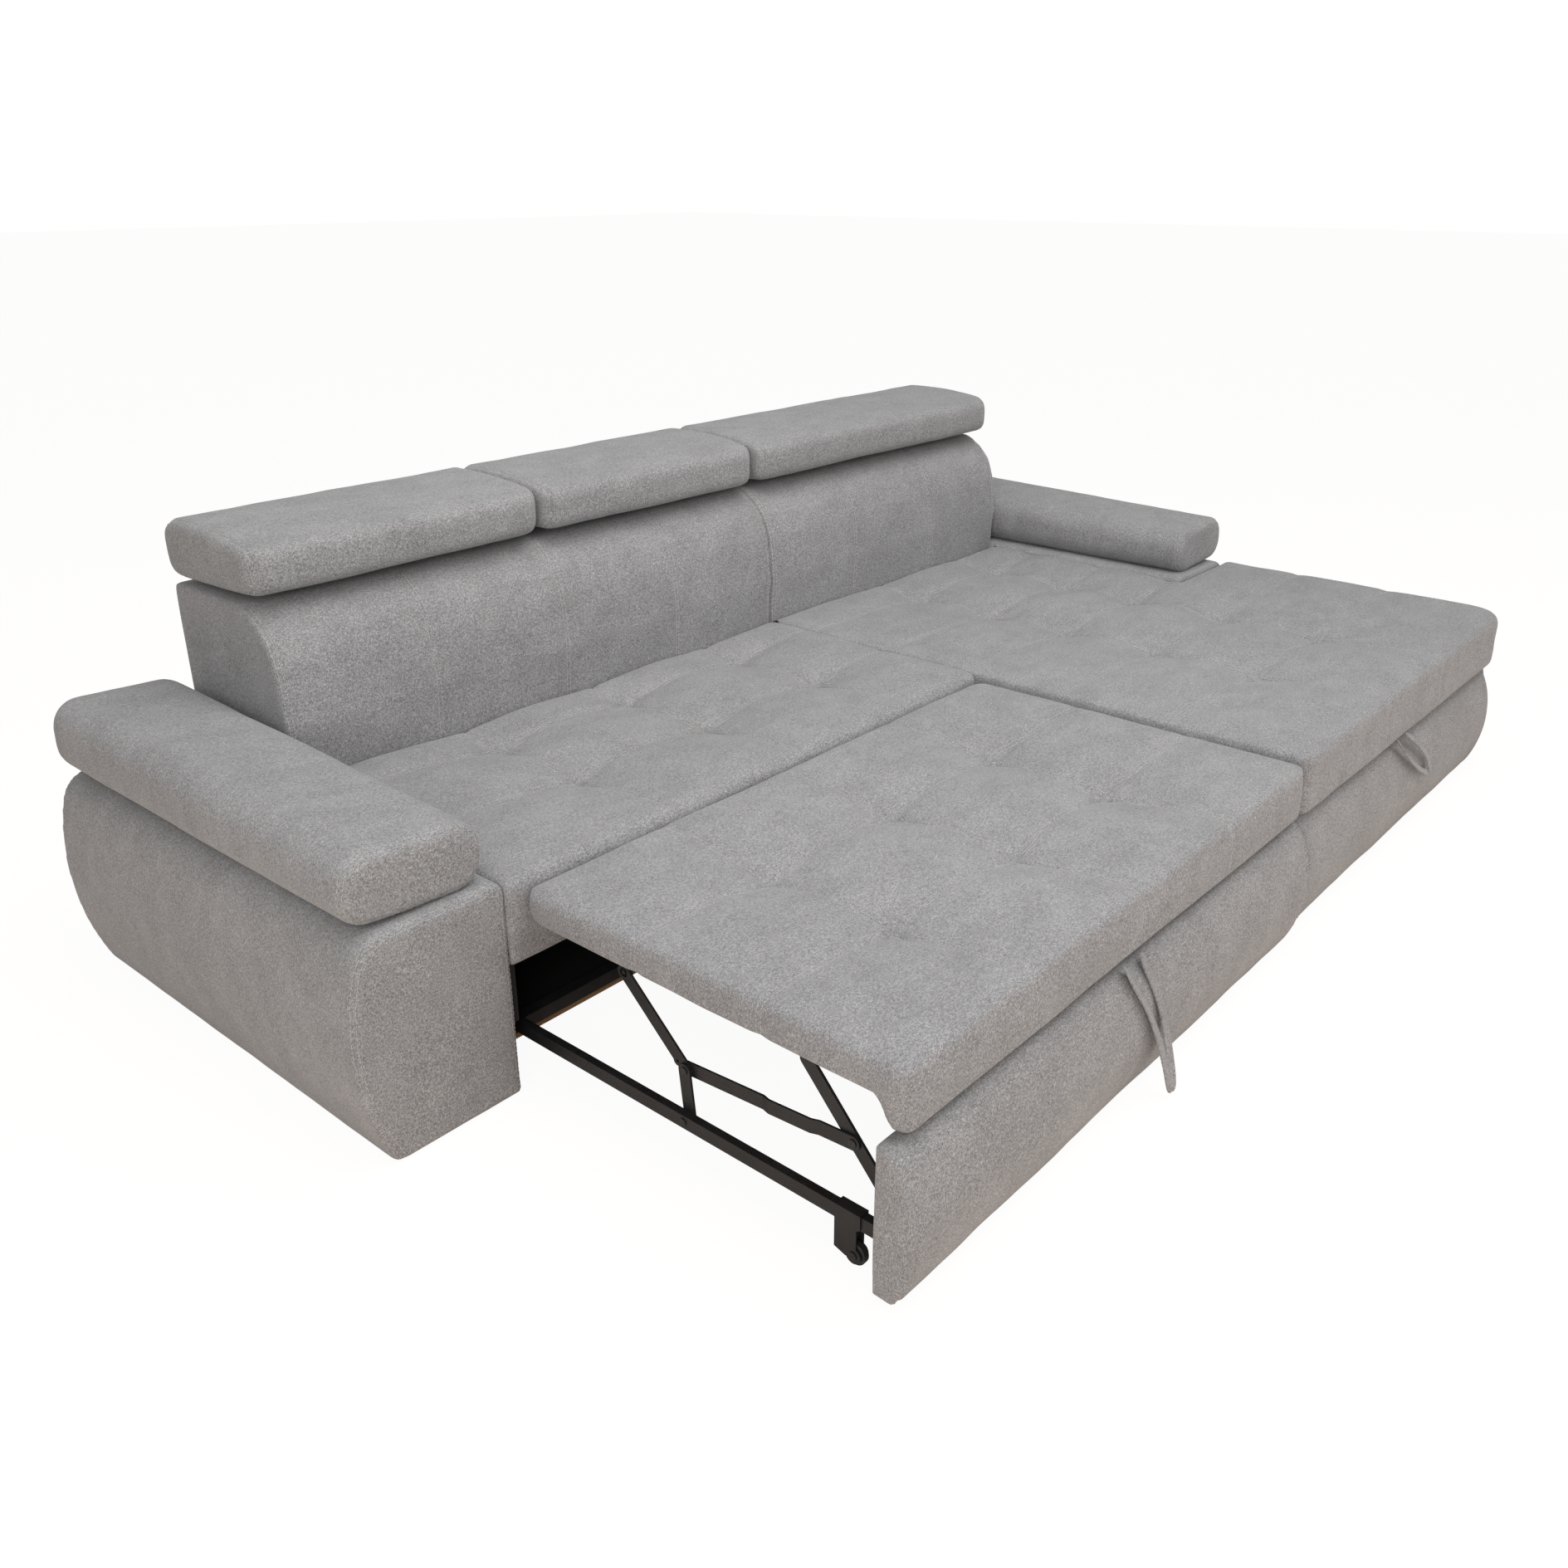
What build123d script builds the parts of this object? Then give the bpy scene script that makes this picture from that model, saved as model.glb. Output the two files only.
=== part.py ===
"""Corner sofa bed with its bed drawn out and raised, in millimetres.

+X runs along the seat, +Z is up and the front faces -Y. The origin is on the floor, under the
middle of the whole sofa. Places along the sofa are measured from its left end, and depths from
its back, both by the helpers below.
"""
import os
from math import atan2, cos, degrees, radians, sin

from build123d import *

os.makedirs("parts", exist_ok=True)

# Driving sizes of the whole sofa
arm_width = 309
left_module = 1392
right_module = 1046
arm_depth = 1000
bed_depth = 1780
strap_reach = 104
arm_height = 420
seat_height = 417
bed_height = 402
back_height = 745
cushion_foot = 299.8
board = 16
plinth_gap = 8
fit_gap = 0.3
soft_gap = 0.5
overrun = 20
module_inset = 8
back_drop = 10

strap_depth = bed_depth + strap_reach
overall_length = 2 * arm_width + left_module + right_module
split = arm_width + left_module
right_inner = split + right_module
back_line = strap_depth / 2


def across(distance):
    """X of a place measured from the sofa's left end."""
    return distance - overall_length / 2


def ahead(depth):
    """Y of a place measured forward from the sofa's back."""
    return back_line - depth


def save(part, name):
    """Label a finished piece and write its file."""
    part.label = name
    export_step(part, f"parts/{name}.step")


def slab(start, end, rear, front, bottom, top, mode=Mode.ADD):
    """A board between two places along the sofa, two depths and two heights."""
    middle = (across((start + end) / 2), ahead((rear + front) / 2), (bottom + top) / 2)
    with Locations(middle):
        Box(end - start, front - rear, top - bottom, mode=mode)


def section(place):
    """Plane of a side profile, drawn as (Y, Z), at a place along the sofa."""
    return Plane.YZ.offset(across(place))


# Arm bases and pads
arm_foot_inset = 47
arm_bulge_height = 245
arm_shoulder = 78
arm_brow_inset = 9
arm_brow_height = 335
arm_inner_round = 24
arm_edge_round = 7
pad_width = 265
pad_thickness = 120
pad_round = 54
pad_outset = 23
pad_tilt = 3
pad_front_inset = 20
pad_rear_rise = 22
pad_edge_round = 14


def arm_base():
    """Outline from the front: a bulging outer side that draws in to the floor."""
    with BuildPart() as base:
        with BuildSketch(Plane.XZ.offset(-ahead(0))):
            with BuildLine():
                foot = (across(arm_foot_inset), plinth_gap)
                bulge = (across(0), arm_bulge_height)
                brow = (across(arm_brow_inset), arm_brow_height)
                shoulder = (across(arm_shoulder), arm_height)
                corner = (across(arm_width) - arm_inner_round, arm_height)
                inner = (across(arm_width), arm_height - arm_inner_round)
                heel = (across(arm_width), plinth_gap)
                Spline(foot, bulge, brow, shoulder, tangents=[(-0.45, 1), (1, 0)])
                Line(shoulder, corner)
                RadiusArc(corner, inner, arm_inner_round)
                Line(inner, heel)
                Line(heel, foot)
            make_face()
        extrude(amount=arm_depth)
        fillet(base.faces().sort_by(Axis.Y)[0].edges(), arm_edge_round)
    return base.part


def arm_pad():
    """Pad that lies on the base, outer edge tilted up and thicker towards the back."""
    flat = pad_width / 2 - pad_round
    with BuildPart() as pad:
        for depth, thickness in ((0, pad_thickness + pad_rear_rise),
                                 (arm_depth - pad_front_inset, pad_thickness)):
            rise = thickness / 2 * cos(radians(pad_tilt)) + flat * sin(radians(pad_tilt))
            with BuildSketch(Plane.XZ.offset(-ahead(depth))):
                with Locations((across(pad_outset + pad_width / 2),
                                arm_height + soft_gap + rise)):
                    RectangleRounded(pad_width, thickness, pad_round, rotation=-pad_tilt)
        loft()
        fillet(pad.faces().sort_by(Axis.Y)[-1].edges(), 2 * pad_edge_round)
        fillet(pad.faces().sort_by(Axis.Y)[0].edges(), pad_edge_round)
    return pad.part


left_base = arm_base()
left_pad = arm_pad()
save(left_base, "left_arm_base")
save(left_pad, "left_arm_pad")
save(mirror(left_base, about=Plane.YZ), "right_arm_base")
save(mirror(left_pad, about=Plane.YZ), "right_arm_pad")

# Boards of the left module, which the drawn-out bed slides under
seat_frame_foot = 254
webbing_thickness = 2
webbing_clear = 0.4
seat_frame_top = cushion_foot - webbing_thickness - webbing_clear
webbing_width = 60
webbing_count = 6
batten = 30
strip_depth = 910
strip_thickness = 20
strip_foot = 42
strip_height = 6
floor_sheet = 2
hinge_plate = 2.5
chaise_wall = split + hinge_plate + 4 * fit_gap
chaise_rear_wall = right_inner - hinge_plate - 4 * fit_gap

with BuildPart() as back_board_left:
    slab(arm_width + fit_gap, split - fit_gap, 0, board, plinth_gap, back_height - back_drop)
save(back_board_left.part, "back_board_left")

with BuildPart() as back_board_right:
    slab(split + fit_gap, right_inner - fit_gap, 0, board, plinth_gap, back_height - back_drop)
save(back_board_right.part, "back_board_right")

with BuildPart() as base_sides:
    slab(arm_width + fit_gap, arm_width + board, board + fit_gap, arm_depth - board,
         plinth_gap, seat_frame_foot)
    slab(split - board, split - fit_gap, board + fit_gap, arm_depth - board,
         plinth_gap, seat_frame_foot)
save(base_sides.part, "base_sides")

with BuildPart() as base_floor:
    slab(arm_width + board, split - board, board + fit_gap, strip_depth,
         strip_foot + strip_height, strip_foot + strip_height + floor_sheet)
save(base_floor.part, "base_floor")

with BuildPart() as base_front_strip:
    slab(arm_width + board, split - board, strip_depth - strip_thickness, strip_depth,
         strip_foot, strip_foot + strip_height)
save(base_front_strip.part, "base_front_strip")

frame_start = arm_width + fit_gap
frame_end = split - fit_gap
frame_rear = board + fit_gap
frame_front = arm_depth - board
with BuildPart() as main_seat_frame:
    for rear in (frame_rear, frame_front - batten):
        slab(frame_start, frame_end, rear, rear + batten, seat_frame_foot, seat_frame_top)
    for start in (frame_start, frame_end - batten):
        slab(start, start + batten, frame_rear + batten, frame_front - batten,
             seat_frame_foot, seat_frame_top)
save(main_seat_frame.part, "main_seat_frame")

with BuildPart() as seat_webbing:
    pitch = (frame_front - frame_rear - 2 * batten) / webbing_count
    for turn in range(webbing_count):
        rear = frame_rear + batten + pitch * (turn + 0.5) - webbing_width / 2
        slab(frame_start, frame_end, rear, rear + webbing_width,
             seat_frame_top, seat_frame_top + webbing_thickness)
save(seat_webbing.part, "seat_webbing")

# Cushion forms, drawn as two scalloped sections that cut each other
seam_dip = 7
edge_drop = 16
cushion_round = 30
side_draw = 4


def scalloped(points, bottom, top, edge):
    """Outline of a tufted cushion: arcs between its seams and rounded ends.

    points are the places of the two ends and of the seams between them, in order.
    """
    start, end = points[0], points[-1]
    seams = points[1:-1]
    first = (start + edge, top - seam_dip / 2)
    last = (end - edge, top - seam_dip / 2)
    marks = [first] + [(seam, top - seam_dip) for seam in seams] + [last]
    with BuildLine() as outline:
        Line((start, bottom), (end, bottom))
        Line((end, bottom), (end, top - edge))
        bend = edge * (1 - cos(radians(45)))
        ThreePointArc((end, top - edge), (end - bend, top - bend), last)
        for right, left in zip(marks[:0:-1], marks[-2::-1]):
            ThreePointArc(right, ((right[0] + left[0]) / 2, top), left)
        ThreePointArc(first, (start + bend, top - bend), (start, top - edge))
        Line((start, top - edge), (start, bottom))
    make_face(outline.edges())


def evenly(start, end, count):
    """The ends and the seams of a run that is sewn into equal panels."""
    return [start + (end - start) * turn / count for turn in range(count + 1)]


def shared(start, end, shares):
    """The ends and the seams of a run whose panels differ."""
    return [start] + [start + (end - start) * share for share in shares] + [end]


def drawn_plan(start, end, rear, front):
    """Plan of a cushion whose sides pull in between its corners."""
    corners = [(across(start), ahead(rear)), (across(end), ahead(rear)),
               (across(end), ahead(front)), (across(start), ahead(front))]
    middle_x = across((start + end) / 2)
    middle_y = ahead((rear + front) / 2)
    dips = [(middle_x, ahead(rear + side_draw)), (across(end - side_draw), middle_y),
            (middle_x, ahead(front - side_draw)), (across(start + side_draw), middle_y)]
    with BuildLine() as outline:
        for turn in range(4):
            ThreePointArc(corners[turn], dips[turn], corners[(turn + 1) % 4])
    make_face(outline.edges())


def tufted_block(columns, rows, bottom, top, edge):
    """A tufted cushion with seams at the given places along and across the sofa."""
    with BuildSketch(Plane.XZ.offset(-ahead(rows[0]))) as front_view:
        scalloped([across(place) for place in columns], bottom, top, edge)
    extrude(front_view.sketch, amount=rows[-1] - rows[0])
    with BuildSketch(section(columns[0])) as side_view:
        scalloped([ahead(depth) for depth in reversed(rows)], bottom, top, edge)
    extrude(side_view.sketch, amount=columns[-1] - columns[0], mode=Mode.INTERSECT)
    with BuildSketch(Plane.XY.offset(bottom)) as plan_view:
        drawn_plan(columns[0], columns[-1], rows[0], rows[-1])
    extrude(plan_view.sketch, amount=top - bottom, mode=Mode.INTERSECT)


# Main seat
back_foot_depth = 351
seat_rear = back_foot_depth + 7
apron_foot = 252
main_column_shares = (0.284, 0.543, 0.8125)
main_row_shares = (0.19, 0.564)

main_start = arm_width + soft_gap
main_end = split - soft_gap
main_columns = shared(main_start, main_end, main_column_shares)
main_rows = shared(seat_rear, arm_depth, main_row_shares)
with BuildPart() as main_seat_cushion:
    tufted_block(main_columns, main_rows, cushion_foot, seat_height, cushion_round)
    slab(main_start, main_end, frame_front + fit_gap, arm_depth - side_draw,
         apron_foot, cushion_foot + edge_drop)
save(main_seat_cushion.part, "main_seat_cushion")

# Sizes of the headrests, each on two hinges at its rear lower edge
headrest_foot = back_height + 15
headrest_pivot_depth = 42
headrest_pivot_radius = 38
headrest_front_depth = 322
headrest_height = 873
headrest_front_height = 857
headrest_front_foot = 768
headrest_round = 24
headrest_end_round = 16
headrest_gap = 8
headrest_overhang = 4
headrest_pivot_height = headrest_foot + headrest_pivot_radius
hinge_inset = 130
hinge_width = 20
hinge_slot = 30
hinge_reach = 60
eye_radius = 10
hinge_pin = 4
running = 0.05
headrest_board = 12
bracket_thickness = 3
bracket_drop = 60
bracket_gap = 0.1
headrest_spans = (
    (arm_width - headrest_overhang, arm_width + left_module / 2 - headrest_gap / 2),
    (arm_width + left_module / 2 + headrest_gap / 2, split - headrest_gap),
    (split + headrest_gap, right_inner + 2 * headrest_overhang),
)


def hinge_places(start, end):
    """Places along the sofa of a headrest's two hinges."""
    return (start + hinge_inset, end - hinge_inset)


# Backrests with upright sewn channels
back_top_depth = 264
back_belly_depth = 338
back_belly_height = 560
back_top_round = 12
channel_depth = 6
channel_width = 10


def back_outline(inset):
    """Side outline of a backrest: upright behind, leaning and full in front."""
    rear = ahead(board + soft_gap)
    top = back_height - inset
    with BuildLine() as outline:
        foot = (ahead(back_foot_depth - inset), cushion_foot)
        waist = (ahead(back_foot_depth - inset), seat_height)
        belly = (ahead(back_belly_depth - inset), back_belly_height)
        brow = (ahead(back_top_depth - inset), top - back_top_round)
        crest = (ahead(back_top_depth - inset - back_top_round), top)
        Line((rear, cushion_foot), foot)
        Line(foot, waist)
        ThreePointArc(waist, belly, brow)
        Line(brow, crest)
        Line(crest, (rear, top))
        Line((rear, top), (rear, cushion_foot))
    make_face(outline.edges())


def backrest(start, end, count):
    """Panels that stand proud of the sewn channels between them."""
    ends = evenly(start, end, count)
    with BuildPart() as rest:
        with BuildSketch(section(start + channel_width)):
            back_outline(channel_depth)
        extrude(amount=end - start - 2 * channel_width)
        for low, high in zip(ends[:-1], ends[1:]):
            with BuildSketch(section(low + channel_width / 2)):
                back_outline(0)
            extrude(amount=high - low - channel_width)
        for span in headrest_spans:
            for place in hinge_places(*span):
                if start < place < end:
                    pocket = board + bracket_gap + bracket_thickness + soft_gap
                    slab(place - hinge_width / 2 - fit_gap, place + hinge_width / 2 + fit_gap,
                         0, pocket, back_height - bracket_drop - fit_gap,
                         back_height + overrun, mode=Mode.SUBTRACT)
    return rest.part


save(backrest(arm_width, split, 4), "backrest_cushion_left")
save(backrest(split, right_inner, 3), "backrest_cushion_right")

# The headrests
def headrest_outline():
    """Wedge section whose rear lower corner is rounded about the hinge pin."""
    rear = ahead(headrest_pivot_depth - headrest_pivot_radius)
    with BuildLine() as outline:
        under = (ahead(headrest_pivot_depth), headrest_foot)
        behind = (rear, headrest_pivot_height)
        nose = (ahead(headrest_front_depth - headrest_round), headrest_front_foot)
        lip = (ahead(headrest_front_depth), headrest_front_foot + headrest_round)
        brow = (ahead(headrest_front_depth), headrest_front_height - headrest_round)
        crest = (ahead(headrest_front_depth - headrest_round), headrest_front_height)
        top = (ahead(headrest_pivot_depth), headrest_height)
        turn = (rear, headrest_height - headrest_pivot_radius)
        bow = headrest_pivot_radius * sin(radians(45))
        Line(under, nose)
        ThreePointArc(nose, (nose[0] - headrest_round * sin(radians(45)),
                             lip[1] - headrest_round * cos(radians(45))), lip)
        Line(lip, brow)
        ThreePointArc(brow, (crest[0] - headrest_round * sin(radians(45)),
                             brow[1] + headrest_round * cos(radians(45))), crest)
        middle = ((crest[0] + top[0]) / 2, headrest_height)
        ThreePointArc(crest, middle, top)
        ThreePointArc(top, (top[0] + bow, turn[1] + bow), turn)
        Line(turn, behind)
        ThreePointArc(behind, (under[0] + bow, headrest_pivot_height - bow), under)
    make_face(outline.edges())


def headrest_cushion(start, end):
    """The upholstered wedge, slotted where its hinges and its inner board go in."""
    with BuildPart() as cushion:
        with BuildSketch(section(start)):
            headrest_outline()
        extrude(amount=end - start)
        fillet(cushion.faces().sort_by(Axis.X)[0].edges(), headrest_end_round)
        fillet(cushion.faces().sort_by(Axis.X)[-1].edges(), headrest_end_round)
        for place in hinge_places(start, end):
            low = (across(place), ahead(hinge_reach / 2 - overrun / 2), headrest_pivot_height)
            with Locations(low):
                Box(hinge_slot + 2 * fit_gap, hinge_reach + overrun,
                    2 * headrest_pivot_radius + overrun, mode=Mode.SUBTRACT)
        with Locations(headrest_board_centre(start, end)):
            Box(*headrest_board_size(start, end), mode=Mode.SUBTRACT)
    return cushion.part


def headrest_board_centre(start, end):
    """Middle of the board inside a headrest."""
    depth = (hinge_reach + headrest_front_depth - 2 * headrest_round) / 2
    return (across((start + end) / 2), ahead(depth), headrest_pivot_height)


def headrest_board_size(start, end):
    """Length, depth and thickness of the board inside a headrest."""
    reach = headrest_front_depth - 2 * headrest_round - hinge_reach
    return (end - start - hinge_inset, reach, headrest_board)


def headrest_frame(start, end):
    """The inner board with a pair of ears and a pin for each hinge."""
    ear = (hinge_slot - hinge_width) / 2 - fit_gap
    with BuildPart() as frame:
        with Locations(headrest_board_centre(start, end)):
            Box(*headrest_board_size(start, end))
        for place in hinge_places(start, end):
            for side in (-1, 1):
                middle = place + side * (hinge_width / 2 + fit_gap + ear / 2)
                with Locations((across(middle), ahead((headrest_pivot_depth + hinge_reach) / 2),
                                headrest_pivot_height)):
                    Box(ear, hinge_reach - headrest_pivot_depth, headrest_board)
                with BuildSketch(section(middle - ear / 2)):
                    with Locations((ahead(headrest_pivot_depth), headrest_pivot_height)):
                        Circle(eye_radius)
                extrude(amount=ear)
            with BuildSketch(section(place - hinge_width / 2 - fit_gap)):
                with Locations((ahead(headrest_pivot_depth), headrest_pivot_height)):
                    Circle(hinge_pin)
            extrude(amount=hinge_width + 2 * fit_gap)
    return frame.part


for number, span in enumerate(headrest_spans, start=1):
    save(headrest_cushion(*span), f"headrest_{number}_cushion")
    save(headrest_frame(*span), f"headrest_{number}_frame")

with BuildPart() as headrest_brackets:
    for span in headrest_spans:
        for place in hinge_places(*span):
            with BuildSketch(section(place - hinge_width / 2)):
                rear = board + bracket_gap
                with BuildLine():
                    Polyline(
                        (ahead(rear), back_height - bracket_drop),
                        (ahead(rear + bracket_thickness), back_height - bracket_drop),
                        (ahead(rear + bracket_thickness), back_height),
                        (ahead(headrest_pivot_depth + bracket_thickness), headrest_pivot_height),
                        (ahead(headrest_pivot_depth - bracket_thickness), headrest_pivot_height),
                        (ahead(rear), back_height),
                        close=True,
                    )
                make_face()
                with Locations((ahead(headrest_pivot_depth), headrest_pivot_height)):
                    Circle(eye_radius)
                    Circle(hinge_pin + running, mode=Mode.SUBTRACT)
            extrude(amount=hinge_width)
save(headrest_brackets.part, "headrest_brackets")

# Storage box under the chaise
box_top = 283.1
lid_foot = 284
front_setback = 14
chaise_front = bed_depth - front_setback
wide_end_inset = 6
wide_end = overall_length - wide_end_inset
side_board = 32
floor_height = 14
floor_board = 4
front_board_drop = 10
box_rear = 340
box_start = chaise_wall + board
box_end = chaise_rear_wall - board

with BuildPart() as chaise_side_left:
    slab(chaise_wall, box_start, board + fit_gap, chaise_front, plinth_gap, box_top)
save(chaise_side_left.part, "chaise_side_left")

with BuildPart() as chaise_side_rear:
    slab(box_end, chaise_rear_wall, board + fit_gap, arm_depth, plinth_gap, box_top)
save(chaise_side_rear.part, "chaise_side_rear")

with BuildPart() as chaise_return:
    slab(box_end, wide_end, arm_depth + fit_gap, arm_depth + board, plinth_gap, box_top)
save(chaise_return.part, "chaise_return")

with BuildPart() as chaise_side_right:
    slab(wide_end - side_board, wide_end, arm_depth + board + fit_gap, chaise_front,
         plinth_gap, box_top)
save(chaise_side_right.part, "chaise_side_right")

with BuildPart() as chaise_rear_rail:
    slab(box_start + fit_gap, box_end - fit_gap, box_rear, box_rear + board,
         plinth_gap, box_top)
save(chaise_rear_rail.part, "chaise_rear_rail")

with BuildPart() as chaise_rear_deck:
    slab(chaise_wall, chaise_rear_wall, board + fit_gap, back_foot_depth,
         box_top, cushion_foot - fit_gap)
save(chaise_rear_deck.part, "chaise_rear_deck")

with BuildPart() as chaise_front_board:
    slab(box_start + fit_gap, wide_end - side_board - fit_gap, chaise_front - board,
         chaise_front, plinth_gap, box_top - front_board_drop)
save(chaise_front_board.part, "chaise_front_board")

with BuildPart() as chaise_floor:
    slab(box_start + fit_gap, box_end - fit_gap, box_rear + board + fit_gap,
         chaise_front - board - fit_gap, floor_height, floor_height + floor_board)
    slab(box_end + fit_gap, wide_end - side_board - fit_gap, arm_depth + board + fit_gap,
         chaise_front - board - fit_gap, floor_height, floor_height + floor_board)
save(chaise_floor.part, "chaise_floor")

# Rounded front covers of the bed and of the chaise
cover_foot = 12
cover_top = 276
cover_bulge = 56
cover_foot_depth = 26
cover_top_depth = 8
cover_top_round = 20
cover_belly_height = 158


def front_cover(start, end, rear):
    """Upholstered front whose face swells between its top and its foot."""
    with BuildPart() as cover:
        with BuildSketch(section(start)):
            with BuildLine():
                foot = (ahead(rear + cover_foot_depth), cover_foot)
                belly = (ahead(rear + cover_bulge), cover_belly_height)
                brow = (ahead(rear + cover_top_depth + cover_top_round),
                        cover_top - cover_top_round)
                crest = (ahead(rear + cover_top_depth), cover_top)
                Line((ahead(rear), cover_foot), foot)
                ThreePointArc(foot, belly, brow)
                Line(brow, crest)
                Line(crest, (ahead(rear), cover_top))
                Line((ahead(rear), cover_top), (ahead(rear), cover_foot))
            make_face()
        extrude(amount=end - start)
    return cover.part


save(front_cover(chaise_wall, wide_end, chaise_front + fit_gap), "chaise_front_cover")

# Chaise lid, which lifts about pins level with the top of its rear edge
lid_rear = 362
lid_pivot_depth = 372
lid_pivot_height = 400
lid_lobe = 11
lid_arm_front = 470
lid_arm_height = 60
front_overhang = 20
lid_front = bed_depth + front_overhang
lid_start = split + 2 * hinge_plate + 5 * fit_gap
lid_end = right_inner - 2 * hinge_plate - 5 * fit_gap
cushion_clear = 1
step_clear = 6
lid_step = arm_depth + step_clear
chaise_column_shares = (0.342, 0.619)
chaise_row_shares = (0.103, 0.265, 0.425, 0.603, 0.781)
plate_foot = 150


def lid_plate(start, pin_hole, foot, front):
    """Hinge plate with a round lobe about the pin, reaching down and forward."""
    with BuildSketch(section(start)) as profile:
        with Locations((ahead(lid_pivot_depth), lid_pivot_height)):
            Circle(lid_lobe)
        with BuildLine():
            Polyline(
                (ahead(lid_pivot_depth - lid_lobe), lid_pivot_height),
                (ahead(lid_pivot_depth - lid_lobe), foot),
                (ahead(front), foot),
                (ahead(front), foot + lid_arm_height),
                (ahead(lid_pivot_depth + lid_lobe), lid_pivot_height),
                close=True,
            )
        make_face()
        with Locations((ahead(lid_pivot_depth), lid_pivot_height)):
            Circle(pin_hole, mode=Mode.SUBTRACT)
    extrude(profile.sketch, amount=hinge_plate)


left_plate = split + fit_gap
right_plate = right_inner - fit_gap - hinge_plate
left_lid_arm = left_plate + hinge_plate + 2 * fit_gap
right_lid_arm = right_plate - 2 * fit_gap - hinge_plate
with BuildPart() as lid_hinge_plates:
    for start in (left_plate, right_plate):
        lid_plate(start, hinge_pin + running, plate_foot, lid_pivot_depth + 3 * lid_lobe)
save(lid_hinge_plates.part, "lid_hinge_plates")

with BuildPart() as lid_hinge_arms:
    for start in (left_lid_arm, right_lid_arm):
        lid_plate(start, hinge_pin, lid_foot, lid_arm_front)
    for start in (left_plate, right_lid_arm):
        with BuildSketch(section(start)):
            with Locations((ahead(lid_pivot_depth), lid_pivot_height)):
                Circle(hinge_pin)
        extrude(amount=2 * hinge_plate + 2 * fit_gap)
save(lid_hinge_arms.part, "lid_hinge_arms")

board_start = left_lid_arm + hinge_plate
board_end = right_lid_arm
with BuildPart() as chaise_lid_board:
    slab(board_start, board_end, lid_rear, lid_step + board, lid_foot, cushion_foot - fit_gap)
    slab(board_start, wide_end - cushion_clear, lid_step + fit_gap, lid_front - board,
         lid_foot, cushion_foot - fit_gap)
save(chaise_lid_board.part, "chaise_lid_board")

chaise_start = board_start + cushion_clear
chaise_columns = shared(chaise_start, wide_end, chaise_column_shares)
chaise_rows = shared(lid_rear, lid_front, chaise_row_shares)
with BuildPart() as chaise_cushion:
    tufted_block(chaise_columns, chaise_rows, cushion_foot, seat_height, cushion_round)
    notch_start = board_end - cushion_clear
    notch = (notch_start, overall_length + overrun, lid_rear - overrun, lid_step)
    with BuildSketch(Plane.XY.offset(cushion_foot - overrun)):
        middle = (across((notch[0] + notch[1]) / 2), ahead((notch[2] + notch[3]) / 2))
        with Locations(middle):
            Rectangle(notch[1] - notch[0], notch[3] - notch[2])
    extrude(amount=seat_height + 2 * overrun - cushion_foot, mode=Mode.SUBTRACT)
save(chaise_cushion.part, "chaise_cushion")

# Drawn-out frame of the bed: rails, cross tubes, front board, brackets and shoes
bed_start = arm_width + module_inset
bed_end = split - module_inset
rail_inset = 40
bed_centre = across((bed_start + bed_end) / 2)
rail_start = bed_start + rail_inset
rail_width = 15
rail_height = 25
rail_foot = 70
rail_wall = 1.5
rail_rear = 830
panel_board = 14
panel_inset = 2
panel_drop = 6
rail_front = bed_depth - panel_board
rail_inner = rail_start + rail_width
rail_top = rail_foot + rail_height
rear_tube_inset = 81
rear_tube_depth = rail_rear + rear_tube_inset
front_tube_depth = rail_front - rail_height
ear_plate = 4
both_sides = Plane.YZ.offset(bed_centre)


def disc(start, end, depth, height, radius, mode=Mode.ADD):
    """A round bar along the sofa between two places."""
    with BuildSketch(section(start)) as profile:
        with Locations((ahead(depth), height)):
            Circle(radius)
    extrude(profile.sketch, amount=end - start, mode=mode)


# Pivots of the lift linkage, as (depth, height) with the bed raised
link_angle = 47.7
link_length = 241
link_mid_share = 0.432
front_pivot = (1748, 117)
rear_pivot = (1351, rail_foot + rail_height / 2)
knee = (1341.4, 168.6)
upper_pivot = (1204.1, 295)
bar_width = 25
bar_thickness = 4
link_thickness = 5
rivet = 4
rivet_head = 7
rivet_head_thickness = 2

link_top = (front_pivot[0] - link_length * cos(radians(link_angle)),
            front_pivot[1] + link_length * sin(radians(link_angle)))
link_middle = (front_pivot[0] + (link_top[0] - front_pivot[0]) * link_mid_share,
               front_pivot[1] + (link_top[1] - front_pivot[1]) * link_mid_share)
lower_link_start = rail_inner + soft_gap
upper_bar_start = lower_link_start + bar_thickness + soft_gap
coupler_start = upper_bar_start + bar_thickness + soft_gap
front_link_start = coupler_start + bar_thickness + soft_gap

with BuildPart() as pullout_rails:
    slab(rail_start, rail_inner, rail_rear, rail_front, rail_foot, rail_top)
    with Locations((across(rail_start + rail_width / 2), ahead((rail_rear + rail_front) / 2),
                    rail_foot + rail_height / 2)):
        Box(rail_width - 2 * rail_wall, rail_front - rail_rear + overrun,
            rail_height - 2 * rail_wall, mode=Mode.SUBTRACT)
    disc(rail_start - overrun, rail_inner + overrun, *rear_pivot, rivet, mode=Mode.SUBTRACT)
    mirror(about=both_sides)
save(pullout_rails.part, "pullout_rails")

rail_mirror = bed_start + bed_end - rail_inner
with BuildPart() as pullout_cross_tubes:
    for rear, inset in ((rear_tube_depth, 0), (front_tube_depth, ear_plate)):
        slab(rail_inner + inset, rail_mirror - inset, rear, rear + rail_height,
             rail_foot, rail_top)
save(pullout_cross_tubes.part, "pullout_cross_tubes")

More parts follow.
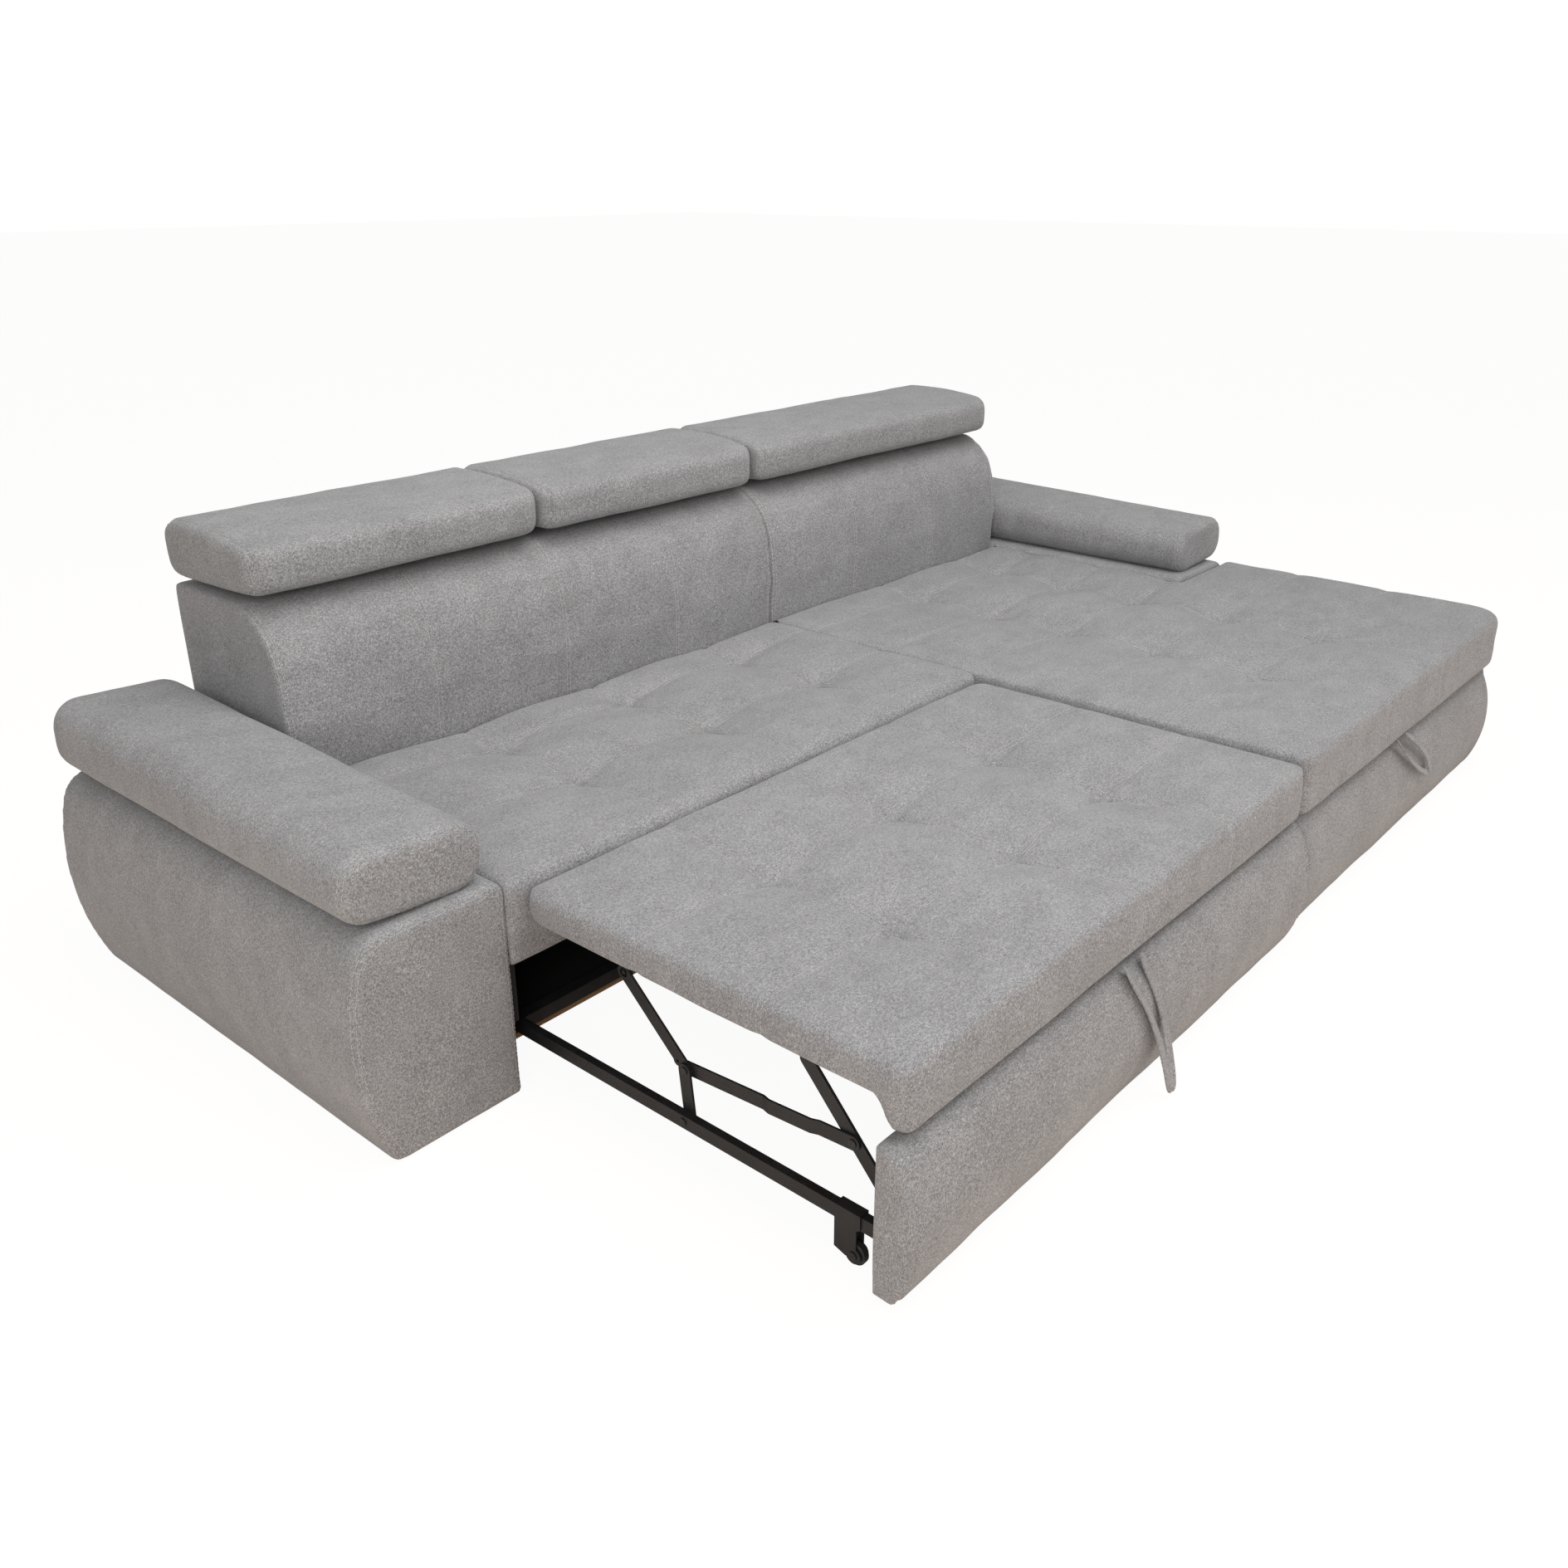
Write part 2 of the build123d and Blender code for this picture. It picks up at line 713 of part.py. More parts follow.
with BuildPart() as front_panel_board:
    slab(bed_start + panel_inset, bed_end - panel_inset, rail_front, bed_depth,
         cover_foot + panel_inset, cover_top - panel_drop)
save(front_panel_board.part, "front_panel_board")
save(front_cover(bed_start, bed_end, bed_depth), "front_panel_cover")

# Channels on the side boards and the shoes that run in them
channel_foot = 62
channel_top = 103
channel_wall = 2
channel_reach = 22
shoe_length = 40
shoe_clear = 0.5
channel_inset = 24
channel_rear = channel_inset
channel_front = arm_depth - channel_inset
with BuildPart() as runner_channels:
    start = arm_width + board
    slab(start, start + channel_reach, channel_rear, channel_front, channel_foot, channel_top)
    with Locations((across(start + channel_wall + channel_reach / 2),
                    ahead((channel_rear + channel_front) / 2), (channel_foot + channel_top) / 2)):
        Box(channel_reach, channel_front - channel_rear + overrun,
            channel_top - channel_foot - 2 * channel_wall, mode=Mode.SUBTRACT)
    mirror(about=both_sides)
save(runner_channels.part, "runner_channels")

with BuildPart() as runner_shoes:
    slab(arm_width + board + channel_wall + shoe_clear, rail_start, rail_rear,
         rail_rear + shoe_length, channel_foot + channel_wall + shoe_clear,
         channel_top - channel_wall - shoe_clear)
    mirror(about=both_sides)
save(runner_shoes.part, "runner_shoes")

# Saddle brackets and the rollers they hold
saddle_rear = 1668
saddle_width = 48
saddle_plate = 2.5
saddle_clear = 0.3
roller_radius = 19
roller_width = 12
roller_depth = 1704
leg_width = 41
eye_wall = 10
axle = 4
saddle_front = saddle_rear + saddle_width
cheek_low = rail_start - saddle_clear - saddle_plate
cheek_high = rail_inner + saddle_clear + saddle_plate


def cheek(start):
    """One side of a saddle: wide over the rail, and narrowing to the axle."""
    eye = (ahead(roller_depth), roller_radius)
    eye_round = axle + eye_wall
    with BuildSketch(section(start)) as profile:
        with BuildLine():
            Polyline(
                (ahead(saddle_rear), rail_top + saddle_clear + saddle_plate),
                (ahead(saddle_rear), roller_radius),
                (ahead(roller_depth - eye_round), roller_radius - eye_round / 2),
                (ahead(saddle_rear + leg_width), roller_radius),
                (ahead(saddle_rear + leg_width), rail_foot - saddle_plate),
                (ahead(saddle_front), rail_foot + saddle_plate),
                (ahead(saddle_front), rail_top + saddle_clear + saddle_plate),
                close=True,
            )
        make_face()
        with Locations(eye):
            Circle(eye_round)
            Circle(axle, mode=Mode.SUBTRACT)
    extrude(profile.sketch, amount=saddle_plate)


with BuildPart() as roller_brackets:
    cheek(cheek_low)
    cheek(cheek_high - saddle_plate)
    slab(cheek_low + saddle_plate, cheek_high - saddle_plate, saddle_rear, saddle_front,
         rail_top + saddle_clear, rail_top + saddle_clear + saddle_plate)
    mirror(about=both_sides)
save(roller_brackets.part, "roller_brackets")

with BuildPart() as roller_axles:
    disc(cheek_low, cheek_high, roller_depth, roller_radius, axle)
    disc(cheek_low - rivet_head_thickness, cheek_low, roller_depth, roller_radius, rivet_head)
    disc(cheek_high, cheek_high + rivet_head_thickness, roller_depth, roller_radius, rivet_head)
    mirror(about=both_sides)
save(roller_axles.part, "roller_axles")


def roller():
    """A castor wheel with rounded edges and a bore that runs on the axle."""
    middle = rail_start + rail_width / 2
    with BuildPart() as wheel:
        disc(middle - roller_width / 2, middle + roller_width / 2, roller_depth,
             roller_radius, roller_radius)
        fillet(wheel.edges().filter_by(GeomType.CIRCLE), roller_width / 6)
        disc(middle - roller_width, middle + roller_width, roller_depth, roller_radius,
             axle + running, mode=Mode.SUBTRACT)
    return wheel.part


left_roller = roller()
save(left_roller, "roller_left")
save(mirror(left_roller, about=both_sides), "roller_right")

# Rivets that the lower links turn on, and the ears of the front links
with BuildPart() as rail_rivets:
    disc(rail_start - rivet_head_thickness, rail_start, *rear_pivot, rivet_head)
    disc(rail_start, lower_link_start + bar_thickness, *rear_pivot, rivet)
    disc(lower_link_start + bar_thickness + fit_gap,
         lower_link_start + bar_thickness + fit_gap + rivet_head_thickness,
         *rear_pivot, rivet_head)
    disc(lower_link_start + bar_thickness,
         lower_link_start + bar_thickness + fit_gap, *rear_pivot, rivet)
    mirror(about=both_sides)
save(rail_rivets.part, "rail_rivets")

ear_round = 15
boss = 8
with BuildPart() as front_link_ears:
    with BuildSketch(section(rail_inner)):
        with Locations((ahead(front_pivot[0]), front_pivot[1])):
            Circle(ear_round)
        with BuildLine():
            Polyline(
                (ahead(front_pivot[0] - ear_round), front_pivot[1]),
                (ahead(front_pivot[0] - ear_round), rail_foot),
                (ahead(front_pivot[0] + ear_round), rail_foot),
                (ahead(front_pivot[0] + ear_round), front_pivot[1]),
                close=True,
            )
        make_face()
    extrude(amount=ear_plate)
    disc(rail_inner + ear_plate, front_link_start - fit_gap, *front_pivot, boss)
    disc(front_link_start - fit_gap, front_link_start + link_thickness + fit_gap,
         *front_pivot, rivet)
    disc(front_link_start + link_thickness + fit_gap,
         front_link_start + link_thickness + fit_gap + rivet_head_thickness,
         *front_pivot, rivet_head)
    mirror(about=both_sides)
save(front_link_ears.part, "front_link_ears")


def bar_outline(first, second, width):
    """The round-ended outline of a flat bar between two pivots."""
    low = Vector(ahead(first[0]), first[1])
    run = Vector(ahead(second[0]), second[1]) - low
    middle = low + run / 2
    with Locations((middle.X, middle.Y)):
        SlotCenterToCenter(run.length, width, rotation=degrees(atan2(run.Y, run.X)))


def pivot_circle(pivot, radius, mode=Mode.ADD):
    """A circle about a pivot, on the side profile that is being drawn."""
    with Locations((ahead(pivot[0]), pivot[1])):
        Circle(radius, mode=mode)


# Front links, which carry the front of the bed
with BuildPart() as front_links:
    with BuildSketch(section(front_link_start)):
        bar_outline(front_pivot, link_top, bar_width)
        pivot_circle(front_pivot, rivet + running, Mode.SUBTRACT)
        pivot_circle(link_middle, rivet, Mode.SUBTRACT)
        pivot_circle(link_top, rivet + running, Mode.SUBTRACT)
    extrude(amount=link_thickness)
    mirror(about=both_sides)
save(front_links.part, "front_links")

with BuildPart() as coupler_rivets:
    disc(coupler_start - rivet_head_thickness, coupler_start, *link_middle, rivet_head)
    disc(coupler_start, front_link_start + link_thickness, *link_middle, rivet)
    disc(front_link_start + link_thickness,
         front_link_start + link_thickness + rivet_head_thickness, *link_middle, rivet_head)
    mirror(about=both_sides)
save(coupler_rivets.part, "coupler_rivets")

# Lower links on the rails, with the rivets at the knee
with BuildPart() as lower_links:
    with BuildSketch(section(lower_link_start)):
        bar_outline(rear_pivot, knee, bar_width)
        pivot_circle(rear_pivot, rivet + running, Mode.SUBTRACT)
        pivot_circle(knee, rivet, Mode.SUBTRACT)
    extrude(amount=bar_thickness)
    mirror(about=both_sides)
save(lower_links.part, "lower_links")

with BuildPart() as knee_rivets:
    disc(lower_link_start, upper_bar_start + bar_thickness, *knee, rivet)
    disc(lower_link_start - rivet_head_thickness, lower_link_start, *knee, rivet_head)
    mirror(about=both_sides)
save(knee_rivets.part, "knee_rivets")

# Upper bars, whose large top hole runs free about the pin of the rear bracket
open_hole = 8.6
open_lobe = 14
stop_pivot = (1323, 177)
stop_radius = 9
stop_bore = 3
with BuildPart() as upper_bars:
    with BuildSketch(section(upper_bar_start)):
        bar_outline(knee, upper_pivot, bar_width)
        pivot_circle(upper_pivot, open_lobe)
        pivot_circle(stop_pivot, stop_radius)
        pivot_circle(knee, rivet + running, Mode.SUBTRACT)
        pivot_circle(upper_pivot, open_hole, Mode.SUBTRACT)
        pivot_circle(stop_pivot, stop_bore, Mode.SUBTRACT)
    extrude(amount=bar_thickness)
    mirror(about=both_sides)
save(upper_bars.part, "upper_bars")

# Coupler bars, stepped outward between their two ends
joggle_rear = 1517
joggle_front = 1600
joggle_run = 14
with BuildPart() as coupler_bars:
    with BuildSketch(section(coupler_start - bar_thickness)):
        bar_outline(link_middle, knee, bar_width)
        pivot_circle(link_middle, rivet + running, Mode.SUBTRACT)
    extrude(amount=2 * bar_thickness)
    with BuildSketch(Plane.XY.offset(knee[1] - 2 * bar_width)):
        with BuildLine():
            inner = across(coupler_start + bar_thickness)
            middle = across(coupler_start)
            outer = across(coupler_start - bar_thickness)
            far_rear = ahead(knee[0] - bar_width)
            far_front = ahead(link_middle[0] + bar_width)
            Polyline(
                (inner, far_rear),
                (inner, ahead(joggle_rear - joggle_run)),
                (middle, ahead(joggle_rear)),
                (middle, ahead(joggle_front)),
                (inner, ahead(joggle_front + joggle_run)),
                (inner, far_front),
                (middle, far_front),
                (middle, ahead(joggle_front + joggle_run)),
                (outer, ahead(joggle_front)),
                (outer, ahead(joggle_rear)),
                (middle, ahead(joggle_rear - joggle_run)),
                (middle, far_rear),
                close=True,
            )
        make_face()
    extrude(amount=5 * bar_width, mode=Mode.INTERSECT)
    disc(coupler_start + bar_thickness, coupler_start + bar_thickness + rivet_head_thickness,
         *knee, rivet_head)
    mirror(about=both_sides)
save(coupler_bars.part, "coupler_bars")

# The bed itself: battens, board, brackets and upholstery
batten_height = 44
bed_board_thickness = 8
side_batten = 20
border = 30
border_round = 28
bed_rear = arm_depth + module_inset
bed_front = bed_depth + front_overhang
batten_top = cushion_foot + batten_height
board_top = batten_top + bed_board_thickness
batten_start = bed_start + border + soft_gap
batten_end = bed_end - border - soft_gap
batten_rear = bed_rear + border + soft_gap
batten_front = bed_front - border - soft_gap
with BuildPart() as bed_battens:
    for rear in (batten_rear, batten_front - batten):
        slab(batten_start, batten_end, rear, rear + batten, cushion_foot, batten_top)
    for start in (batten_start, batten_end - side_batten):
        slab(start, start + side_batten, batten_rear + batten, batten_front - batten,
             cushion_foot, batten_top)
save(bed_battens.part, "bed_battens")

with BuildPart() as bed_board:
    slab(batten_start, batten_end, batten_rear, batten_front, batten_top, board_top)
save(bed_board.part, "bed_board")

with BuildPart() as bed_border:
    slab(bed_start + side_draw, bed_end - side_draw, bed_rear + side_draw,
         bed_front - side_draw, cushion_foot, board_top)
    fillet(bed_border.faces().sort_by(Axis.Z)[0].edges(), border_round - side_draw)
    slab(batten_start - soft_gap, batten_end + soft_gap, batten_rear - soft_gap,
         batten_front + soft_gap, cushion_foot - overrun, board_top + overrun,
         mode=Mode.SUBTRACT)
save(bed_border.part, "bed_border")

with BuildPart() as bed_cushion:
    tufted_block(evenly(bed_start, bed_end, 4), evenly(bed_rear, bed_front, 3),
                 board_top + soft_gap, bed_height, cushion_round)
save(bed_cushion.part, "bed_cushion")

bracket_plate = 3
bracket_width = 30
bracket_pin = 3.5
rear_bracket_start = coupler_start
front_bracket_start = front_link_start + link_thickness + soft_gap


def bracket(start, pivot):
    """A plate hung from the board, rounded about its pivot."""
    with BuildSketch(section(start)) as profile:
        pivot_circle(pivot, bracket_width / 2)
        with Locations((ahead(pivot[0]), (pivot[1] + batten_top) / 2)):
            Rectangle(bracket_width, batten_top - pivot[1])
    extrude(profile.sketch, amount=bracket_plate)
    slab(start, start + bracket_width, pivot[0] - bracket_width / 2,
         pivot[0] + bracket_width / 2, batten_top - bracket_plate, batten_top)


with BuildPart() as link_brackets:
    bracket(rear_bracket_start, upper_pivot)
    disc(upper_bar_start - soft_gap, rear_bracket_start, *upper_pivot, bracket_pin)
    bracket(front_bracket_start, link_top)
    disc(front_link_start - soft_gap / 2, front_bracket_start, *link_top, rivet)
    mirror(about=both_sides)
save(link_brackets.part, "link_brackets")

# Pull loops of flat webbing, cut from a folded band by their outline from the front
loop_thickness = 2
loop_width = 18
loop_seat = loop_thickness + fit_gap


def hanging_loop(path, legs):
    """Webbing that follows a side path (depth, height) along legs seen from the front."""
    far = max(place for leg in legs for place, height in leg) + 2 * loop_width
    near = min(place for leg in legs for place, height in leg) - 2 * loop_width
    under = [(ahead(depth), height) for depth, height in path]
    over = [(ahead(depth + loop_thickness), height + loop_thickness * turn)
            for turn, (depth, height) in zip(loop_lifts(path), path)]
    with BuildSketch(section(near)) as side_view:
        with BuildLine():
            Polyline(*under, *reversed(over), close=True)
        make_face()
    extrude(side_view.sketch, amount=far - near)
    with BuildSketch(Plane.XZ.offset(-ahead(0))) as front_view:
        for leg in legs:
            for first, second in zip(leg[:-1], leg[1:]):
                low = Vector(across(first[0]), first[1])
                run = Vector(across(second[0]), second[1]) - low
                middle = low + run / 2
                with Locations((middle.X, middle.Y)):
                    SlotCenterToCenter(run.length, loop_width,
                                       rotation=degrees(atan2(run.Y, run.X)))
    extrude(front_view.sketch, amount=strap_depth + overrun, mode=Mode.INTERSECT)


def loop_lifts(path):
    """Share of its thickness that a band stands up by, where it lies flatter."""
    lifts = []
    for turn in range(len(path)):
        first = path[max(turn - 1, 0)]
        second = path[min(turn + 1, len(path) - 1)]
        run = Vector(second[0] - first[0], second[1] - first[1])
        lifts.append(run.X / run.length)
    return lifts


bed_loop_path = (
    (1745, cushion_foot - loop_seat), (1768, cushion_foot - loop_seat), (1790, 285), (1806, 270),
    (1821, 242), (1835, 205), (1837.2, 160), (1838, 90), (1842, 40), (1856, 12),
    (strap_depth - loop_thickness, 1),
)
bed_loop_legs = (
    ((922, 320), (1006, 58), (1052, -10)),
    ((984, 320), (1019, 58), (1030, -10)),
)
with BuildPart() as bed_pull_loop:
    hanging_loop(bed_loop_path, bed_loop_legs)
save(bed_pull_loop.part, "bed_pull_loop")

chaise_loop_path = (
    (1750, lid_foot - loop_seat), (1784, lid_foot - loop_seat), (1804, 266), (1820, 215), (1823.6, 160),
    (1824, 80),
)
chaise_loop_legs = (
    ((2254, 300), (2450, 112)),
    ((2327, 300), (2470, 128)),
    ((2450, 112), (2470, 128)),
)
with BuildPart() as chaise_pull_loop:
    hanging_loop(chaise_loop_path, chaise_loop_legs)
save(chaise_pull_loop.part, "chaise_pull_loop")

# Glides that the arms and the box stand on
glide_radius = 14
glide_inset = 90
glide_board_inset = 60
with BuildPart() as glides:
    with BuildSketch(Plane.XY):
        for depth in (glide_inset, arm_depth - glide_inset):
            for place in (arm_width / 3, 2 * arm_width / 3 + glide_radius):
                for spot in (place, overall_length - place):
                    with Locations((across(spot), ahead(depth))):
                        Circle(glide_radius)
        for depth in (glide_inset, chaise_front - glide_inset):
            with Locations((across(chaise_wall + board / 2), ahead(depth))):
                Circle(glide_radius / 2)
        for depth in (arm_depth + glide_inset, chaise_front - glide_inset):
            with Locations((across(wide_end - side_board / 2), ahead(depth))):
                Circle(glide_radius)
        for depth in (glide_inset, frame_front - glide_board_inset):
            for place in (arm_width + board / 2, split - board / 2):
                with Locations((across(place), ahead(depth))):
                    Circle(glide_radius / 2)
    extrude(amount=plinth_gap)
save(glides.part, "glides")
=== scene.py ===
"""Dresses a corner sofa bed in grey flock with sewn tufts, over steel and timber."""
import math

import bmesh
import bpy
from mathutils import Matrix, Vector, noise
from mathutils.bvhtree import BVHTree
from mathutils.kdtree import KDTree


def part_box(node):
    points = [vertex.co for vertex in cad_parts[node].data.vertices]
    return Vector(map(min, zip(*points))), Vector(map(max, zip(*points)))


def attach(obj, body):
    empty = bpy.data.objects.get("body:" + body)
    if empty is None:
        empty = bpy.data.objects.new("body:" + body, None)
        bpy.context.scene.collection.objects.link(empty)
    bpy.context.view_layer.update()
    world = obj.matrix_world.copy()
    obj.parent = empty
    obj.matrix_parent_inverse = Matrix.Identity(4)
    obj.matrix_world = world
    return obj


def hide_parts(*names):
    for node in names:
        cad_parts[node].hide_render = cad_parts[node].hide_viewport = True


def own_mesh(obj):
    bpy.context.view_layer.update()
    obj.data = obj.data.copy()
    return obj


bl_info = {
    "name": "Corner Sofa Bed",
    "version": (1, 0, 0),
    "blender": (4, 5, 0),
    "location": "View3D > Sidebar > Sofa Bed",
    "description": "Upholsters and finishes a corner sofa bed with a raised pull-out bed",
    "category": "Object",
}

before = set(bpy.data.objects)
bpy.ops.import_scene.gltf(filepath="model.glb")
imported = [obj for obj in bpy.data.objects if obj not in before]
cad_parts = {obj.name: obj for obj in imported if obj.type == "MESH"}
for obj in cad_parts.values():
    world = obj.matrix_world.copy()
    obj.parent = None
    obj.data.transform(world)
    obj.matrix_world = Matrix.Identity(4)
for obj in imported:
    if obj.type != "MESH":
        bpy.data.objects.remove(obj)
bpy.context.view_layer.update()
MM = 0.001
WELD = 0.00001
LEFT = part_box("left_arm_base")[0].x
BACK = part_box("left_arm_base")[1].y


def across(distance):
    """X of a place measured in millimetres from the sofa's left end."""
    return LEFT + distance * MM


def ahead(depth):
    """Y of a place measured in millimetres forward from the sofa's back."""
    return BACK - depth * MM


class SofaFabricSettings(bpy.types.PropertyGroup):
    """Cover, thread and sewing"""

    cover: bpy.props.FloatVectorProperty(
        name="Cover", description="Colour of the flock cover", subtype="COLOR",
        size=3, min=0, max=1, default=(0.352, 0.346, 0.346))
    fleck: bpy.props.FloatVectorProperty(
        name="Flecks", description="Colour of the darker yarn flecks", subtype="COLOR",
        size=3, min=0, max=1, default=(0.17, 0.164, 0.167))
    highlight: bpy.props.FloatVectorProperty(
        name="Highlights", description="Colour where the pile lies towards the light",
        subtype="COLOR", size=3, min=0, max=1, default=(0.56, 0.55, 0.545))
    thread: bpy.props.FloatVectorProperty(
        name="Thread", description="Colour of the stitching thread", subtype="COLOR",
        size=3, min=0, max=1, default=(0.62, 0.605, 0.58))
    voxel: bpy.props.FloatProperty(
        name="Remesh size", description="Grid size of the upholstery meshes",
        subtype="DISTANCE", unit="LENGTH", min=0.004, max=0.02, default=0.0065)
    seam_depth: bpy.props.FloatProperty(
        name="Seam depth", description="How deep a sewn seam pulls in",
        subtype="DISTANCE", unit="LENGTH", min=0, max=0.02, default=0.0045)
    seam_width: bpy.props.FloatProperty(
        name="Seam width", description="Half width of the furrow along a seam",
        subtype="DISTANCE", unit="LENGTH", min=0.002, max=0.04, default=0.011)
    tuft_depth: bpy.props.FloatProperty(
        name="Tuft depth", description="How deep a tuft is pulled into a seat",
        subtype="DISTANCE", unit="LENGTH", min=0, max=0.05, default=0.03)
    tuft_reach: bpy.props.FloatProperty(
        name="Tuft reach", description="Distance over which a tuft's dimple fades",
        subtype="DISTANCE", unit="LENGTH", min=0.01, max=0.2, default=0.055)
    stitch: bpy.props.FloatProperty(
        name="Stitch length", description="Length of one stitch",
        subtype="DISTANCE", unit="LENGTH", min=0.002, max=0.01, default=0.0045)
    stitch_pitch: bpy.props.FloatProperty(
        name="Stitch pitch", description="Distance from one stitch to the next",
        subtype="DISTANCE", unit="LENGTH", min=0.003, max=0.02, default=0.0065)
    stitch_offset: bpy.props.FloatProperty(
        name="Stitch offset", description="Distance of each stitch row from its seam",
        subtype="DISTANCE", unit="LENGTH", min=0.001, max=0.01, default=0.0045)


class SofaFrameSettings(bpy.types.PropertyGroup):
    """Steel, timber, boards and plastics"""

    steel: bpy.props.FloatVectorProperty(
        name="Black steel", description="Powder coat of the rails and links",
        subtype="COLOR", size=3, min=0, max=1, default=(0.012, 0.012, 0.013))
    zinc: bpy.props.FloatVectorProperty(
        name="Rivets", description="Darkened zinc of the rivets", subtype="COLOR",
        size=3, min=0, max=1, default=(0.09, 0.09, 0.095))
    pine: bpy.props.FloatVectorProperty(
        name="Pine", description="Raw planed pine", subtype="COLOR",
        size=3, min=0, max=1, default=(0.56, 0.33, 0.16))
    chip: bpy.props.FloatVectorProperty(
        name="Chipboard", description="Raw chipboard", subtype="COLOR",
        size=3, min=0, max=1, default=(0.42, 0.28, 0.15))
    lining: bpy.props.FloatVectorProperty(
        name="Lining", description="Black non-woven lining", subtype="COLOR",
        size=3, min=0, max=1, default=(0.013, 0.012, 0.012))
    plastic: bpy.props.FloatVectorProperty(
        name="Black plastic", description="Rollers, shoes and glides", subtype="COLOR",
        size=3, min=0, max=1, default=(0.02, 0.02, 0.021))


class SofaStageSettings(bpy.types.PropertyGroup):
    """Camera, floor and light"""

    eye: bpy.props.FloatVectorProperty(
        name="Camera", description="Place of the camera: along, depth and height",
        subtype="TRANSLATION", unit="LENGTH", size=3, default=(-0.917, 2.678, 1.493))
    yaw: bpy.props.FloatProperty(
        name="Yaw", description="Turn of the view to the right", subtype="ANGLE",
        default=math.radians(49.28))
    pitch: bpy.props.FloatProperty(
        name="Pitch", description="Tilt of the view downwards", subtype="ANGLE",
        default=math.radians(23.24))
    focal: bpy.props.FloatProperty(
        name="Focal length", description="Lens on a 36 mm wide sensor", unit="CAMERA",
        min=10, max=200, default=31.83)
    floor: bpy.props.FloatVectorProperty(
        name="Floor", description="Colour of the floor", subtype="COLOR",
        size=3, min=0, max=1, default=(0.95, 0.81, 0.7))
    sky: bpy.props.FloatProperty(
        name="Sky strength", description="Strength of the even light from all round",
        min=0, max=3, default=0.35)
    lamp: bpy.props.FloatProperty(
        name="Lamp power", description="Power of the overhead soft box",
        subtype="POWER", unit="POWER", min=0, max=5000, default=105)


# Materials
def blank(name):
    """A new node material with its output and one principled shader."""
    material = bpy.data.materials.new(name)
    material.use_nodes = True
    tree = material.node_tree
    return material, tree, tree.nodes["Principled BSDF"]


def add(tree, kind, **values):
    """A node of a kind, with the given sockets or properties set."""
    node = tree.nodes.new(kind)
    for key, value in values.items():
        if key in node.inputs:
            node.inputs[key].default_value = value
        else:
            setattr(node, key, value)
    return node


def object_noise(tree, scale, detail=2.0, rough=0.5, stretch=(1, 1, 1),
                 kind="ShaderNodeTexNoise"):
    """Noise that stays with the object, with features of about 1/scale metres."""
    spot = tree.nodes.new("ShaderNodeTexCoord")
    mapping = add(tree, "ShaderNodeMapping", Scale=stretch)
    tree.links.new(spot.outputs["Object"], mapping.inputs["Vector"])
    pattern = tree.nodes.new(kind)
    pattern.inputs["Scale"].default_value = scale
    if kind == "ShaderNodeTexNoise":
        pattern.inputs["Detail"].default_value = detail
        pattern.inputs["Roughness"].default_value = rough
    tree.links.new(mapping.outputs["Vector"], pattern.inputs["Vector"])
    return pattern


def shaded(colour, share):
    """A colour made darker or lighter by a share."""
    return tuple(part * share for part in colour)


def ramp(tree, source, stops):
    """A colour ramp over a source's value; stops are (position, colour)."""
    node = tree.nodes.new("ShaderNodeValToRGB")
    elements = node.color_ramp.elements
    while len(elements) < len(stops):
        elements.new(0.5)
    for element, (position, colour) in zip(elements, stops):
        element.position = position
        element.color = (*colour, 1)
    tree.links.new(source, node.inputs["Fac"])
    return node


def grey_stops(*stops):
    """Ramp stops in greys, from (position, level) pairs."""
    return [(position, (level,) * 3) for position, level in stops]


def blend_colours(tree, kind, share, first, second):
    """Mix node over two colour outputs."""
    node = add(tree, "ShaderNodeMix", data_type="RGBA", blend_type=kind)
    for socket, value in (("Factor", share), ("A", first), ("B", second)):
        target = next(s for s in node.inputs if s.name == socket and s.enabled)
        if isinstance(value, bpy.types.NodeSocket):
            tree.links.new(value, target)
        else:
            target.default_value = value
    return next(s for s in node.outputs if s.name == "Result" and s.enabled)


def bump(tree, shader, height, strength, distance):
    """Bump from a height output into a shader's normal."""
    node = add(tree, "ShaderNodeBump", Strength=strength, Distance=distance)
    tree.links.new(height, node.inputs["Height"])
    tree.links.new(node.outputs["Normal"], shader.inputs["Normal"])


def surfaced(tree, shader, colour, **values):
    """Links a base colour and sets the shader's other inputs by name."""
    tree.links.new(colour, shader.inputs["Base Color"])
    for key, value in values.items():
        shader.inputs[key.replace("_", " ")].default_value = value


def grained(name, grain, stops, relief, **values):
    """A finish with one grain of noise, which sets both its tone and its relief."""
    material, tree, shader = blank(name)
    pattern = object_noise(tree, *grain)
    tone = ramp(tree, pattern.outputs["Fac"], stops)
    surfaced(tree, shader, tone.outputs["Color"], **values)
    bump(tree, shader, pattern.outputs["Fac"], *relief)
    return material


